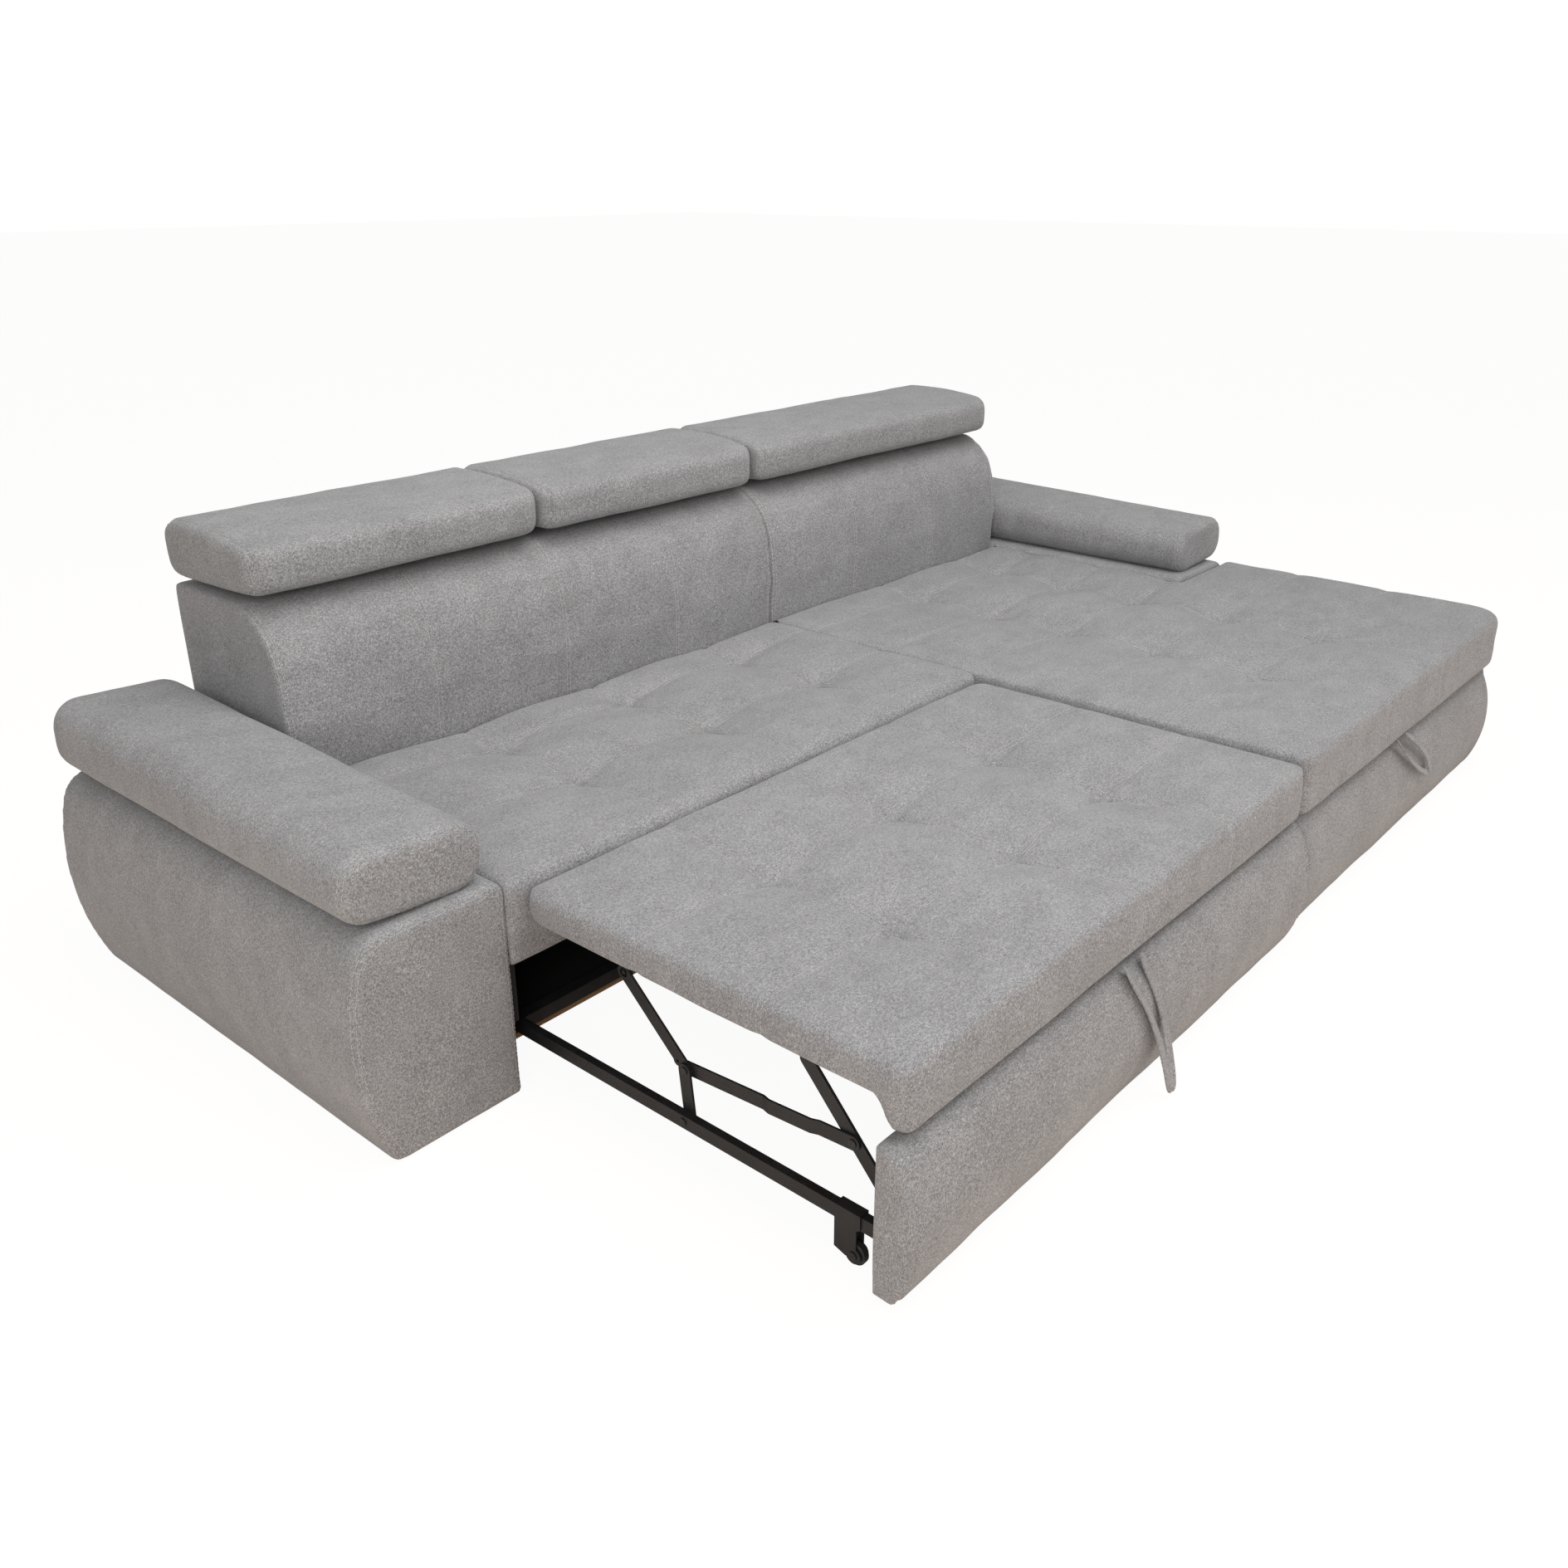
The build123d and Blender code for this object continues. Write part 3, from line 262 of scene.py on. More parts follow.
def flock_cover():
    """Short-pile melange: fine flecks, brushed clouds and a soft sheen at grazing angles."""
    look = bpy.context.scene.sofa_fabric
    material, tree, shader = blank("flock_cover")
    flecks = object_noise(tree, 430, 3, 0.8, (1, 1.5, 0.7))
    yarns = object_noise(tree, 170, 3, 0.7, (1, 1.5, 1.5))
    clouds = object_noise(tree, 11, 5, 0.62, (1, 1.5, 1))
    patches = object_noise(tree, 2.6, 3, 0.5)
    base = ramp(tree, flecks.outputs["Fac"],
                [(0.33, look.fleck), (0.52, look.cover), (0.68, look.highlight)])
    soft = ramp(tree, yarns.outputs["Fac"], grey_stops((0.32, 0.34), (0.68, 0.66)))
    mixed = blend_colours(tree, "OVERLAY", 0.75, base.outputs["Color"], soft.outputs["Color"])
    pile = ramp(tree, clouds.outputs["Fac"], grey_stops((0.34, 0.445), (0.66, 0.55)))
    mixed = blend_colours(tree, "OVERLAY", 0.75, mixed, pile.outputs["Color"])
    broad = ramp(tree, patches.outputs["Fac"], grey_stops((0.3, 0.485), (0.7, 0.515)))
    mixed = blend_colours(tree, "OVERLAY", 1.0, mixed, broad.outputs["Color"])
    surfaced(tree, shader, mixed, Roughness=0.92, Specular_IOR_Level=0.2,
             Sheen_Weight=0.22, Sheen_Roughness=0.45)
    height = add(tree, "ShaderNodeMath", operation="ADD")
    tree.links.new(flecks.outputs["Fac"], height.inputs[0])
    tree.links.new(yarns.outputs["Fac"], height.inputs[1])
    bump(tree, shader, height.outputs["Value"], 0.42, 0.001)
    return material


def sewing_thread():
    """Twisted polyester thread, paler than the cover."""
    look = bpy.context.scene.sofa_fabric
    stops = [(0.3, shaded(look.thread, 0.8)), (0.7, look.thread)]
    return grained("sewing_thread", (1400, 1, 0.5), stops, (0.4, 0.0003),
                   Roughness=0.6, Sheen_Weight=0.1)


def woven_tape():
    """Dark woven tape, ribbed along its length."""
    look = bpy.context.scene.sofa_fabric
    stops = [(0.3, shaded(look.fleck, 0.55)), (0.7, look.cover)]
    return grained("woven_tape", (420, 2, 0.5, (1, 1, 0.4)), stops, (0.5, 0.0008),
                   Roughness=0.9, Sheen_Weight=0.15)


def black_powder_coat():
    """Satin black powder coat with fine orange peel and rubbed patches."""
    look = bpy.context.scene.sofa_frame
    material, tree, shader = blank("black_powder_coat")
    peel = object_noise(tree, 900, 2, 0.5)
    rub = object_noise(tree, 22, 4, 0.6)
    tone = ramp(tree, rub.outputs["Fac"],
                [(0.35, look.steel), (0.75, shaded(look.steel, 1.9))])
    surfaced(tree, shader, tone.outputs["Color"])
    gloss = add(tree, "ShaderNodeMapRange")
    gloss.inputs["To Min"].default_value = 0.38
    gloss.inputs["To Max"].default_value = 0.55
    tree.links.new(rub.outputs["Fac"], gloss.inputs["Value"])
    tree.links.new(gloss.outputs["Result"], shader.inputs["Roughness"])
    bump(tree, shader, peel.outputs["Fac"], 0.25, 0.0004)
    return material


def dark_zinc():
    """Darkened zinc of the rivet heads."""
    look = bpy.context.scene.sofa_frame
    stops = [(0.3, shaded(look.zinc, 0.6)), (0.7, look.zinc)]
    return grained("dark_zinc", (260, 3, 0.6), stops, (0.2, 0.0003),
                   Metallic=0.9, Roughness=0.42)


def raw_pine():
    """Planed pine with long grain along X."""
    look = bpy.context.scene.sofa_frame
    material, tree, shader = blank("raw_pine")
    grain = object_noise(tree, 60, 4, 0.6, (0.08, 1, 1))
    pores = object_noise(tree, 700, 2, 0.5, (0.05, 1, 1))
    tone = ramp(tree, grain.outputs["Fac"],
                [(0.35, shaded(look.pine, 0.72)), (0.6, look.pine)])
    mixed = blend_colours(tree, "MULTIPLY", 0.25, tone.outputs["Color"],
                          pores.outputs["Color"])
    surfaced(tree, shader, mixed, Roughness=0.7)
    bump(tree, shader, pores.outputs["Fac"], 0.3, 0.0005)
    return material


def raw_chipboard():
    """Pressed chips, pale and dark."""
    look = bpy.context.scene.sofa_frame
    material, tree, shader = blank("raw_chipboard")
    chips = object_noise(tree, 210, kind="ShaderNodeTexVoronoi")
    dust = object_noise(tree, 480, 3, 0.6)
    tone = ramp(tree, chips.outputs["Distance"],
                [(0.1, shaded(look.chip, 0.7)), (0.7, look.chip)])
    mixed = blend_colours(tree, "OVERLAY", 0.4, tone.outputs["Color"], dust.outputs["Color"])
    surfaced(tree, shader, mixed, Roughness=0.85)
    bump(tree, shader, chips.outputs["Distance"], 0.3, 0.0005)
    return material


def black_lining():
    """Thin non-woven lining with a felted surface."""
    look = bpy.context.scene.sofa_frame
    stops = [(0.3, look.lining), (0.75, shaded(look.lining, 2.2))]
    return grained("black_lining", (340, 4, 0.65), stops, (0.4, 0.0006), Roughness=0.95)


def black_moulding():
    """Moulded black plastic with a fine spark texture."""
    look = bpy.context.scene.sofa_frame
    stops = [(0.3, look.plastic), (0.7, shaded(look.plastic, 1.5))]
    return grained("black_moulding", (1100, 2, 0.5), stops, (0.2, 0.0003), Roughness=0.45)


MAKERS = {
    "flock_cover": flock_cover,
    "sewing_thread": sewing_thread,
    "woven_tape": woven_tape,
    "black_powder_coat": black_powder_coat,
    "dark_zinc": dark_zinc,
    "raw_pine": raw_pine,
    "raw_chipboard": raw_chipboard,
    "black_lining": black_lining,
    "black_moulding": black_moulding,
}


def finish_of(name):
    """The material of a name, made the first time it is asked for."""
    return bpy.data.materials.get(name) or MAKERS[name]()


def paint(nodes, name):
    """Gives CAD nodes a finish."""
    for node in nodes:
        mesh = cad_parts[node].data
        mesh.materials.clear()
        mesh.materials.append(finish_of(name))


# Places along the sofa, the end seams' inset, and each seat's start, end, rear and front
LENGTH = 3056
ARM_WIDTH = 309
SPLIT = 1701
BACK_END = 2747
END_INSET = 10
MAIN = (309.5, 1700.5, 358, 1000)
BED = (317, 1693, 1008, 1800)
CHAISE = (1707.9, 3050, 362, 1800)

# Seams of each seat, as shares of its length and of its depth
MAIN_COLUMNS = (0.284, 0.543, 0.8125)
MAIN_ROWS = (0.19, 0.564)
BED_COLUMNS = (0.25, 0.5, 0.75)
BED_ROWS = (1 / 3, 2 / 3)
CHAISE_COLUMNS = (0.342, 0.619)
CHAISE_ROWS = (0.103, 0.265, 0.425, 0.603, 0.781)

# Heights where each seat's seams end and where its top lies, in metres
MAIN_HEIGHTS = (0.262, 0.417)
BED_HEIGHTS = (0.315, 0.402)
CHAISE_HEIGHTS = (0.312, 0.417)

# The bed's edges, in millimetres and shares; only the border's top is in metres
BED_MIDDLE, FLANK_END, LIP_REAR = 1005, 600, 1776
FLANK_DRAW, RIGHT_SQUEEZE = 18, 0.4
BORDER_TOP = 0.352
BORDER_RISE, BORDER_BLEND = 0.66, 30
BATTEN_SQUEEZE, BATTEN_DROP = 0.84, 1.5

# Cut front corners: the depth where the shade begins, and the heights of the cuts
SHADE_DEPTH = 912
LINING_CUT, CHANNEL_CUT = 0.135, 0.2

# Padding: how its edges wear round, and the waves of its faces in metres
SMOOTHING = 0.5
SLOW_WAVES, SLOW_RISE = 5.5, 0.0022
QUICK_WAVES, QUICK_RISE = 16, 0.0008

# Tufts: shares of the tuft depth, and spreads in tuft reaches
PIT_SHARE, PIT_POWER = 0.62, 1.1
BOWL_SHARE, BOWL_SPREAD = 0.45, 2.4
CREASE_SHARE, CREASE_WIDTH, CREASE_SPREAD = 0.34, 0.01, 1.3
PUCKER_SHARE, PUCKER_FOLDS, PUCKER_TURN = 0.05, 7, 2.3
PUCKER_SPREAD, PUCKER_START = 1.1, 0.02
TUFT_LIMIT = 6

# Seams and stitches: lengths in metres, the limit in seam widths
SEAM_STEP = 0.004
SEAM_LIMIT = 3
SHORTEST_RUN = 0.0005
STRAY_STITCH = 0.03
THREAD, THICK_THREAD = 0.0009, 0.0013
THREAD_LIFT = 0.0002

# Seats: share of the seam depth, and the height above which tufts pull
SEAT_SEAM = 0.45
SEAT_FLOOR = 0.36


def place(name, mesh, finish, body, nodes=(), smooth=True):
    """A finished mesh as a piece that rides on a body and stands for CAD nodes."""
    piece = bpy.data.objects.new(name, mesh)
    bpy.context.scene.collection.objects.link(piece)
    mesh.materials.clear()
    mesh.materials.append(finish_of(finish))
    mesh.polygons.foreach_set("use_smooth", [smooth] * len(mesh.polygons))
    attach(piece, body)
    if nodes:
        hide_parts(*nodes)
    return piece


def modified(mesh, *steps):
    """A mesh after modifiers, each given as (type, settings)."""
    work = bpy.data.objects.new("work", mesh)
    bpy.context.scene.collection.objects.link(work)
    for kind, settings in steps:
        modifier = work.modifiers.new(kind.lower(), kind)
        for key, value in settings.items():
            setattr(modifier, key, value)
    graph = bpy.context.evaluated_depsgraph_get()
    done = bpy.data.meshes.new_from_object(work.evaluated_get(graph))
    bpy.data.objects.remove(work)
    bpy.data.meshes.remove(mesh)
    return done


def mesh_of(shape, name):
    """A new mesh of a shape, which is then freed."""
    mesh = bpy.data.meshes.new(name)
    shape.to_mesh(mesh)
    shape.free()
    return mesh


def block(rear, front, bottom, top):
    """A rectangle's (depth, height) corners."""
    return (rear, bottom), (front, bottom), (front, top), (rear, top)


def merged_solids(nodes, wraps=()):
    """One mesh of CAD solids and of the padding that wraps round them, in upright slices."""
    shape = bmesh.new()
    for node in nodes:
        shape.from_mesh(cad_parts[node].data)
    bmesh.ops.remove_doubles(shape, verts=shape.verts, dist=WELD)
    for start, end, outline in wraps:
        near = [shape.verts.new((across(start), ahead(depth), height * MM))
                for depth, height in outline]
        span = Vector(((end - start) * MM, 0, 0))
        far = [shape.verts.new(vert.co + span) for vert in near]
        faces = [near, far]
        faces += [(near[turn - 1], near[turn], far[turn], far[turn - 1])
                  for turn in range(len(near))]
        walls = [shape.faces.new(face) for face in faces]
        bmesh.ops.recalc_face_normals(shape, faces=walls)
    return mesh_of(shape, "solids")


def rounded_in_plan(shape, corners):
    """Rounds (along, depth, radius) corners in plan; a minus marks the left, or the rear."""
    for distance, depth, radius in corners:
        toward_x, toward_y = math.copysign(1, distance), math.copysign(1, -depth)
        centre_x = across(abs(distance)) - toward_x * radius
        centre_y = ahead(abs(depth)) - toward_y * radius
        for vert in shape.verts:
            dx, dy = (vert.co.x - centre_x) * toward_x, (vert.co.y - centre_y) * toward_y
            if dx > 0 and dy > 0:
                share = max(dx, dy) / math.hypot(dx, dy)
                vert.co.x = centre_x + toward_x * dx * share
                vert.co.y = centre_y + toward_y * dy * share


def padded_skin(nodes, wraps, size, rounds, swell, wobble, corners):
    """Even grid over solids, with its edges worn round and its faces a little uneven."""
    mesh = modified(merged_solids(nodes, wraps),
                    ("REMESH", {"mode": "VOXEL", "voxel_size": size}))
    shape = bmesh.new()
    shape.from_mesh(mesh)
    rounded_in_plan(shape, corners)
    for _ in range(rounds):
        bmesh.ops.smooth_vert(shape, verts=shape.verts, factor=SMOOTHING, use_axis_x=True,
                              use_axis_y=True, use_axis_z=True)
    shape.normal_update()
    for vert in shape.verts:
        drift = (noise.noise(vert.co * SLOW_WAVES) * SLOW_RISE
                 + noise.noise(vert.co * QUICK_WAVES) * QUICK_RISE)
        vert.co += vert.normal * (drift * wobble + swell)
    shape.to_mesh(mesh)
    shape.free()
    return mesh


def trimmed(node, name, finish, height):
    """A CAD node's piece whose front corners below a height are cut back into the shade."""
    shape = bmesh.new()
    # The part above the height stays whole; the part below it ends at the shade
    for high in (True, False):
        part = bmesh.new()
        part.from_mesh(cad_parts[node].data)
        bmesh.ops.remove_doubles(part, verts=part.verts, dist=WELD)
        cuts = [((0, 0, height), (0, 0, -1 if high else 1))]
        if not high:
            cuts.append(((0, ahead(SHADE_DEPTH), 0), (0, -1, 0)))
        for point, normal in cuts:
            geometry = [*part.verts, *part.edges, *part.faces]
            cut = bmesh.ops.bisect_plane(part, geom=geometry, plane_co=point, plane_no=normal,
                                         clear_outer=True)["geom_cut"]
            rim = [edge for edge in cut if isinstance(edge, bmesh.types.BMEdge)]
            bmesh.ops.holes_fill(part, edges=rim, sides=0)
        half = mesh_of(part, "half")
        shape.from_mesh(half)
        bpy.data.meshes.remove(half)
    place(name, mesh_of(shape, name), finish, "sofa", [node], smooth=False)


def surface_of(mesh):
    """A search tree over a mesh's faces."""
    shape = bmesh.new()
    shape.from_mesh(mesh)
    tree = BVHTree.FromBMesh(shape)
    shape.free()
    return tree


def laid(path, surface, step=SEAM_STEP):
    """A seam's (point, normal) places: an even walk along a path, dropped onto the surface."""
    found = []
    for low, high in zip(path[:-1], path[1:]):
        low, high = Vector(low), Vector(high)
        count = max(1, int((high - low).length / step))
        for turn in range(count):
            point, normal, _, _ = surface.find_nearest(low.lerp(high, turn / count))
            if not found or (point - found[-1][0]).length > step * 0.5:
                found.append((point, normal))
    return found


def furrow(mesh, seams, depth, width):
    """Pulls the skin in along laid seams."""
    places = [point for seam in seams for point, _ in seam]
    if not places:
        return
    near = KDTree(len(places))
    for turn, point in enumerate(places):
        near.insert(point, turn)
    near.balance()
    shape = bmesh.new()
    shape.from_mesh(mesh)
    shape.normal_update()
    moves = []
    for vert in shape.verts:
        away = near.find(vert.co)[2]
        if away < SEAM_LIMIT * width:
            moves.append((vert, depth * math.exp(-(away / width) ** 2)))
    for vert, move in moves:
        vert.co -= vert.normal * move
    shape.to_mesh(mesh)
    shape.free()


def tufted(mesh, tufts, floor_height):
    """Dimples at the tufts of a seat, with creases that run out along the seams."""
    look = bpy.context.scene.sofa_fabric
    reach = look.tuft_reach
    shape = bmesh.new()
    shape.from_mesh(mesh)
    for vert in shape.verts:
        if vert.co.z < floor_height:
            continue
        drop = 0.0
        for turn, (x, y) in enumerate(tufts):
            dx, dy = vert.co.x - x, vert.co.y - y
            away = math.hypot(dx, dy)
            if away > TUFT_LIMIT * reach:
                continue
            pit = PIT_SHARE * math.exp(-(away / reach) ** PIT_POWER)
            bowl = BOWL_SHARE * math.exp(-(away / (BOWL_SPREAD * reach)) ** 2)
            along = min(abs(dx), abs(dy))
            crease = (CREASE_SHARE * math.exp(-(along / CREASE_WIDTH) ** 2)
                      * math.exp(-away / (CREASE_SPREAD * reach)))
            fan = math.sin(PUCKER_FOLDS * math.atan2(dy, dx) + turn * PUCKER_TURN)
            pucker = (PUCKER_SHARE * fan * math.exp(-away / (PUCKER_SPREAD * reach))
                      * min(1, away / PUCKER_START))
            drop = max(drop, pit + bowl + crease + pucker)
        vert.co.z -= look.tuft_depth * drop
    shape.to_mesh(mesh)
    shape.free()


def stitching(name, body, mesh, seams, thread):
    """Rows of short raised stitches beside each seam, one on each side."""
    look = bpy.context.scene.sofa_fabric
    surface = surface_of(mesh)
    shape = bmesh.new()
    for seam in seams:
        for side in (-1, 1):
            walked = 0.0
            for (low, normal), (high, _) in zip(seam[:-1], seam[1:]):
                run = high - low
                walked += run.length
                if walked < look.stitch_pitch or run.length < SHORTEST_RUN:
                    continue
                walked -= look.stitch_pitch
                beside = normal.cross(run.normalized()).normalized()
                spot = low + beside * look.stitch_offset * side
                point, up, _, away = surface.find_nearest(spot)
                if away > STRAY_STITCH:
                    continue
                along = (run - up * run.dot(up)).normalized()
                turn = Matrix((along, up.cross(along), up)).transposed().to_4x4()
                turn.translation = point + up * THREAD_LIFT
                scale = Matrix.Diagonal((look.stitch, thread, thread, 1))
                bmesh.ops.create_cube(shape, size=1, matrix=turn @ scale)
    place(name, mesh_of(shape, name), "sewing_thread", body)


def upright(distance, profile, rear=0):
    """A path at one distance along the sofa through a profile's (depth, height) points."""
    return [(across(distance), ahead(rear + depth), height * MM) for depth, height in profile]


def facing(side, depth, profile):
    """A path at one depth through an arm's (along, height) points; side -1 mirrors it."""
    return [(side * across(distance), ahead(depth), height * MM)
            for distance, height in profile]


def loop_path(points):
    """A closed path through points."""
    return [*points, points[0]]


def bed_edge(point):
    """Draws in the bed's flanks, and its border up, except along the front."""
    inward = min(1, max(0, (across(FLANK_END) - point.x) / ((FLANK_END - BED[0]) * MM)))
    beyond = max(0, point.x - across(BED[1] - 1))
    point.x += FLANK_DRAW * MM * inward - beyond * RIGHT_SQUEEZE
    behind = min(1, max(0, (point.y - ahead(LIP_REAR)) / (BORDER_BLEND * MM)))
    if point.z < BORDER_TOP:
        point.z += (BORDER_TOP - point.z) * BORDER_RISE * behind


def upholster(name, nodes, body, seams=(), tufts=(), rounds=3, deep=1.0, wide=1.0,
              thread=THREAD, floor_height=0.0, swell=0.0025, wobble=1.0, wraps=(),
              corners=(), drawn=None):
    """One padded piece over CAD solids, sewn in along its seams; no thread, no stitches."""
    look = bpy.context.scene.sofa_fabric
    mesh = padded_skin(nodes, wraps, look.voxel, rounds, swell, wobble, corners)
    if drawn:
        for vert in mesh.vertices:
            drawn(vert.co)
    surface = surface_of(mesh)
    lines = [laid(path, surface) for path in seams]
    furrow(mesh, lines, look.seam_depth * deep, look.seam_width * wide)
    if tufts:
        tufted(mesh, tufts, floor_height)
    piece = place(name, mesh, "flock_cover", body, nodes)
    if thread and lines:
        surface = surface_of(mesh)
        lines = [[surface.find_nearest(point)[:2] for point, _ in line] for line in lines]
        stitching(name + "_stitching", body, mesh, lines, thread)


def seat_seams(area, columns, rows, low, high, wrap):
    """A seat's seams over its top and down the sides named in wrap, and its tufts."""
    start, end, rear, front = area
    xs = [across(start + (end - start) * share) for share in columns]
    ys = [ahead(rear + (front - rear) * share) for share in rows]
    start, end, rear, front = across(start), across(end), ahead(rear), ahead(front)
    paths = []
    for x in xs:
        path = [(x, front, high), (x, rear, high)]
        if "front" in wrap:
            path.insert(0, (x, front, low))
        paths.append(path)
    for y in ys:
        path = [(start, y, high), (end, y, high)]
        if "left" in wrap:
            path.insert(0, (start, y, low))
        if "right" in wrap:
            path.append((end, y, low))
        paths.append(path)
    return paths, [(x, y) for x in xs for y in ys]


# Operators: one for each piece or group of like pieces
class PieceOperator:
    """What the operators share"""

    bl_options = {"REGISTER", "UNDO"}


# Arms: where their seams lie, their feet's start and end, and outlines as (along, height)
ARM_FRONT, PAD_FRONT = 998, 972
FOOT = (52, 306)
ARM_FACE = ((60, 12), (22, 100), (6, 193), (2, 245), (9, 323), (22, 370), (36, 394), (72, 413),
            (110, 416), (199, 416), (262, 414), (298, 399), (304, 380), (304, 200), (304, 12))
ARM_PAD_END = ((26, 484), (32, 440), (60, 424), (110, 422), (180, 423), (250, 426), (282, 448),
               (288, 478), (272, 512), (220, 532), (140, 542), (70, 546), (36, 526))


class SOFA_OT_arm_bases(PieceOperator, bpy.types.Operator):
    """Upholster both arm bases, with a stitched seam round each front face"""

    bl_idname = "sofa.arm_bases"
    bl_label = "Arm bases"

    def execute(self, context):
        """Make the left base and the right one."""
        for side, node in ((1, "left_arm_base"), (-1, "right_arm_base")):
            foot = FOOT if side > 0 else (LENGTH - FOOT[1], LENGTH - FOOT[0])
            upholster(node + "_cover", [node], "sofa", [facing(side, ARM_FRONT, ARM_FACE)],
                      deep=0.5, wide=0.6, swell=0.001, wobble=0.5,
                      wraps=[(*foot, block(3, 1001, 3, 24))])
        return {"FINISHED"}


class SOFA_OT_arm_pads(PieceOperator, bpy.types.Operator):
    """Upholster both arm pads, with a stitched seam round each front end"""

    bl_idname = "sofa.arm_pads"
    bl_label = "Arm pads"

    def execute(self, context):
        """Make the left pad and the right one."""
        for side, node in ((1, "left_arm_pad"), (-1, "right_arm_pad")):
            end = loop_path(facing(side, PAD_FRONT, ARM_PAD_END))
            upholster(node + "_cover", [node], "sofa", [end], rounds=4, deep=0.45, wide=0.6,
                      swell=0.002, wobble=0.8)
        return {"FINISHED"}


# Front of the backrests, as (depth, height)
BACK_FRONT = ((352, 310), (360, 440), (365, 514), (360, 578), (353, 632), (335, 682),
              (304, 716), (258, 745))


class SOFA_OT_backrests(PieceOperator, bpy.types.Operator):
    """Upholster both backrests in upright sewn panels"""

    bl_idname = "sofa.backrests"
    bl_label = "Backrests"

    def execute(self, context):
        """Make the backrest of each module."""
        for name, start, end, count in (("left", ARM_WIDTH, SPLIT, 4),
                                        ("right", SPLIT, BACK_END, 3)):
            places = [start + (end - start) * turn / count for turn in range(1, count)]
            places += [start + END_INSET, end - END_INSET]
            paths = [upright(distance, BACK_FRONT) for distance in places]
            node, board = "backrest_cushion_" + name, "back_board_" + name
            outline = ((6, 300), *BACK_FRONT, (6, 745))
            upholster(node + "_cover", [node, board], "sofa", paths, rounds=6, deep=0.9,
                      wide=0.8, swell=0.001, thread=THICK_THREAD,
                      wraps=[(start + 1, end - 1, outline)])
        return {"FINISHED"}


# Headrests: their ends as (depth, height), spans along the sofa, front and seams' inset
HEADREST_END = ((60, 766), (150, 764), (290, 774), (318, 796), (319, 838), (298, 857),
                (200, 871), (60, 872), (14, 855), (6, 815), (22, 775))
HEADREST_SPANS = ((305, 1001), (1009, 1693), (1709, 2755))
HEADREST_FRONT, HEADREST_INSET = 322, 13


class SOFA_OT_headrests(PieceOperator, bpy.types.Operator):
    """Upholster the three folding headrests"""

    bl_idname = "sofa.headrests"
    bl_label = "Headrests"

    def execute(self, context):
        """Make each headrest with a seam round both ends."""
        for number, (start, end) in enumerate(HEADREST_SPANS, start=1):
            paths = [loop_path(upright(distance, HEADREST_END))
                     for distance in (start + HEADREST_INSET, end - HEADREST_INSET)]
            node = f"headrest_{number}_cushion"
            upholster(f"headrest_{number}_cover", [node], f"headrest_{number}", paths,
                      rounds=6, deep=0.6, wide=0.6, swell=0.0035,
                      corners=[(-start, HEADREST_FRONT, 0.036), (end, HEADREST_FRONT, 0.055)])
        return {"FINISHED"}


class SOFA_OT_main_seat(PieceOperator, bpy.types.Operator):
    """Upholster the tufted seat that the bed slides under"""

    bl_idname = "sofa.main_seat"
    bl_label = "Main seat"

    def execute(self, context):
        """Make the seat with its front apron, padded out to its neighbours."""
        paths, tufts = seat_seams(MAIN, MAIN_COLUMNS, MAIN_ROWS, *MAIN_HEIGHTS, ("front",))
        start, end, rear, front = MAIN
        upholster("main_seat_cover", ["main_seat_cushion"], "sofa", paths, tufts, rounds=8,
                  deep=SEAT_SEAM, floor_height=SEAT_FLOOR,
                  wraps=[(end - 60, end + 1, block(rear, front - 4, 300, 410)),
                         (start + 10, end - 6, block(front - 60, front + 1.5, 300, 400))])
        return {"FINISHED"}


class SOFA_OT_bed_mattress(PieceOperator, bpy.types.Operator):
    """Upholster the tufted bed and the border that wraps its battens"""

    bl_idname = "sofa.bed_mattress"
    bl_label = "Bed"

    def execute(self, context):
        """Make the raised bed in one cover, then give it and its stitching meshes of their
        own.
        """
        paths, tufts = seat_seams(BED, BED_COLUMNS, BED_ROWS, *BED_HEIGHTS, ("front", "left"))
        start, end, rear, front = BED
        corners = [(side, depth, 0.03) for side in (-start, end) for depth in (-rear, front)]
        lip = (start + 4, end - 4, block(front - 40, front + 2, 291, 360))
        flank = (end - 60, end + 8, block(rear + 6, front - 6, 302, 395))
        back = (start + 20, end, block(rear - 3, rear + 60, 302, 390))
        upholster("bed_cover", ["bed_cushion", "bed_border"], "bed", paths, tufts, rounds=7,
                  deep=SEAT_SEAM, floor_height=BORDER_TOP, wraps=[lip, flank, back],
                  corners=corners, drawn=bed_edge)
        for name in ("bed_cover", "bed_cover_stitching"):
            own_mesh(bpy.data.objects[name])
        return {"FINISHED"}


class SOFA_OT_chaise(PieceOperator, bpy.types.Operator):
    """Upholster the tufted chaise lid"""

    bl_idname = "sofa.chaise"
    bl_label = "Chaise"

    def execute(self, context):
        """Make the L-shaped cushion, padded out round its lid board."""
        paths, tufts = seat_seams(CHAISE, CHAISE_COLUMNS, CHAISE_ROWS, *CHAISE_HEIGHTS,
                                  ("front", "left", "right"))
        wraps = [(1708, 3051, block(1740, 1801, 284, 330)),
                 (1720, 3040, block(1020, 1780, 290, 310)),
                 (1720, 2735, block(380, 1780, 290, 310)),
                 (1702.5, 2746, block(362, 430, 290, 410)),
                 (1701.5, 1780, block(362, 1796, 290, 410))]
        upholster("chaise_cover", ["chaise_cushion", "chaise_lid_board"], "chaise_lid", paths,
                  tufts, rounds=7, deep=SEAT_SEAM, floor_height=SEAT_FLOOR, wraps=wraps,
                  corners=[(-1702.5, 1800, 0.02), (3050, 1800, 0.1)])
        return {"FINISHED"}


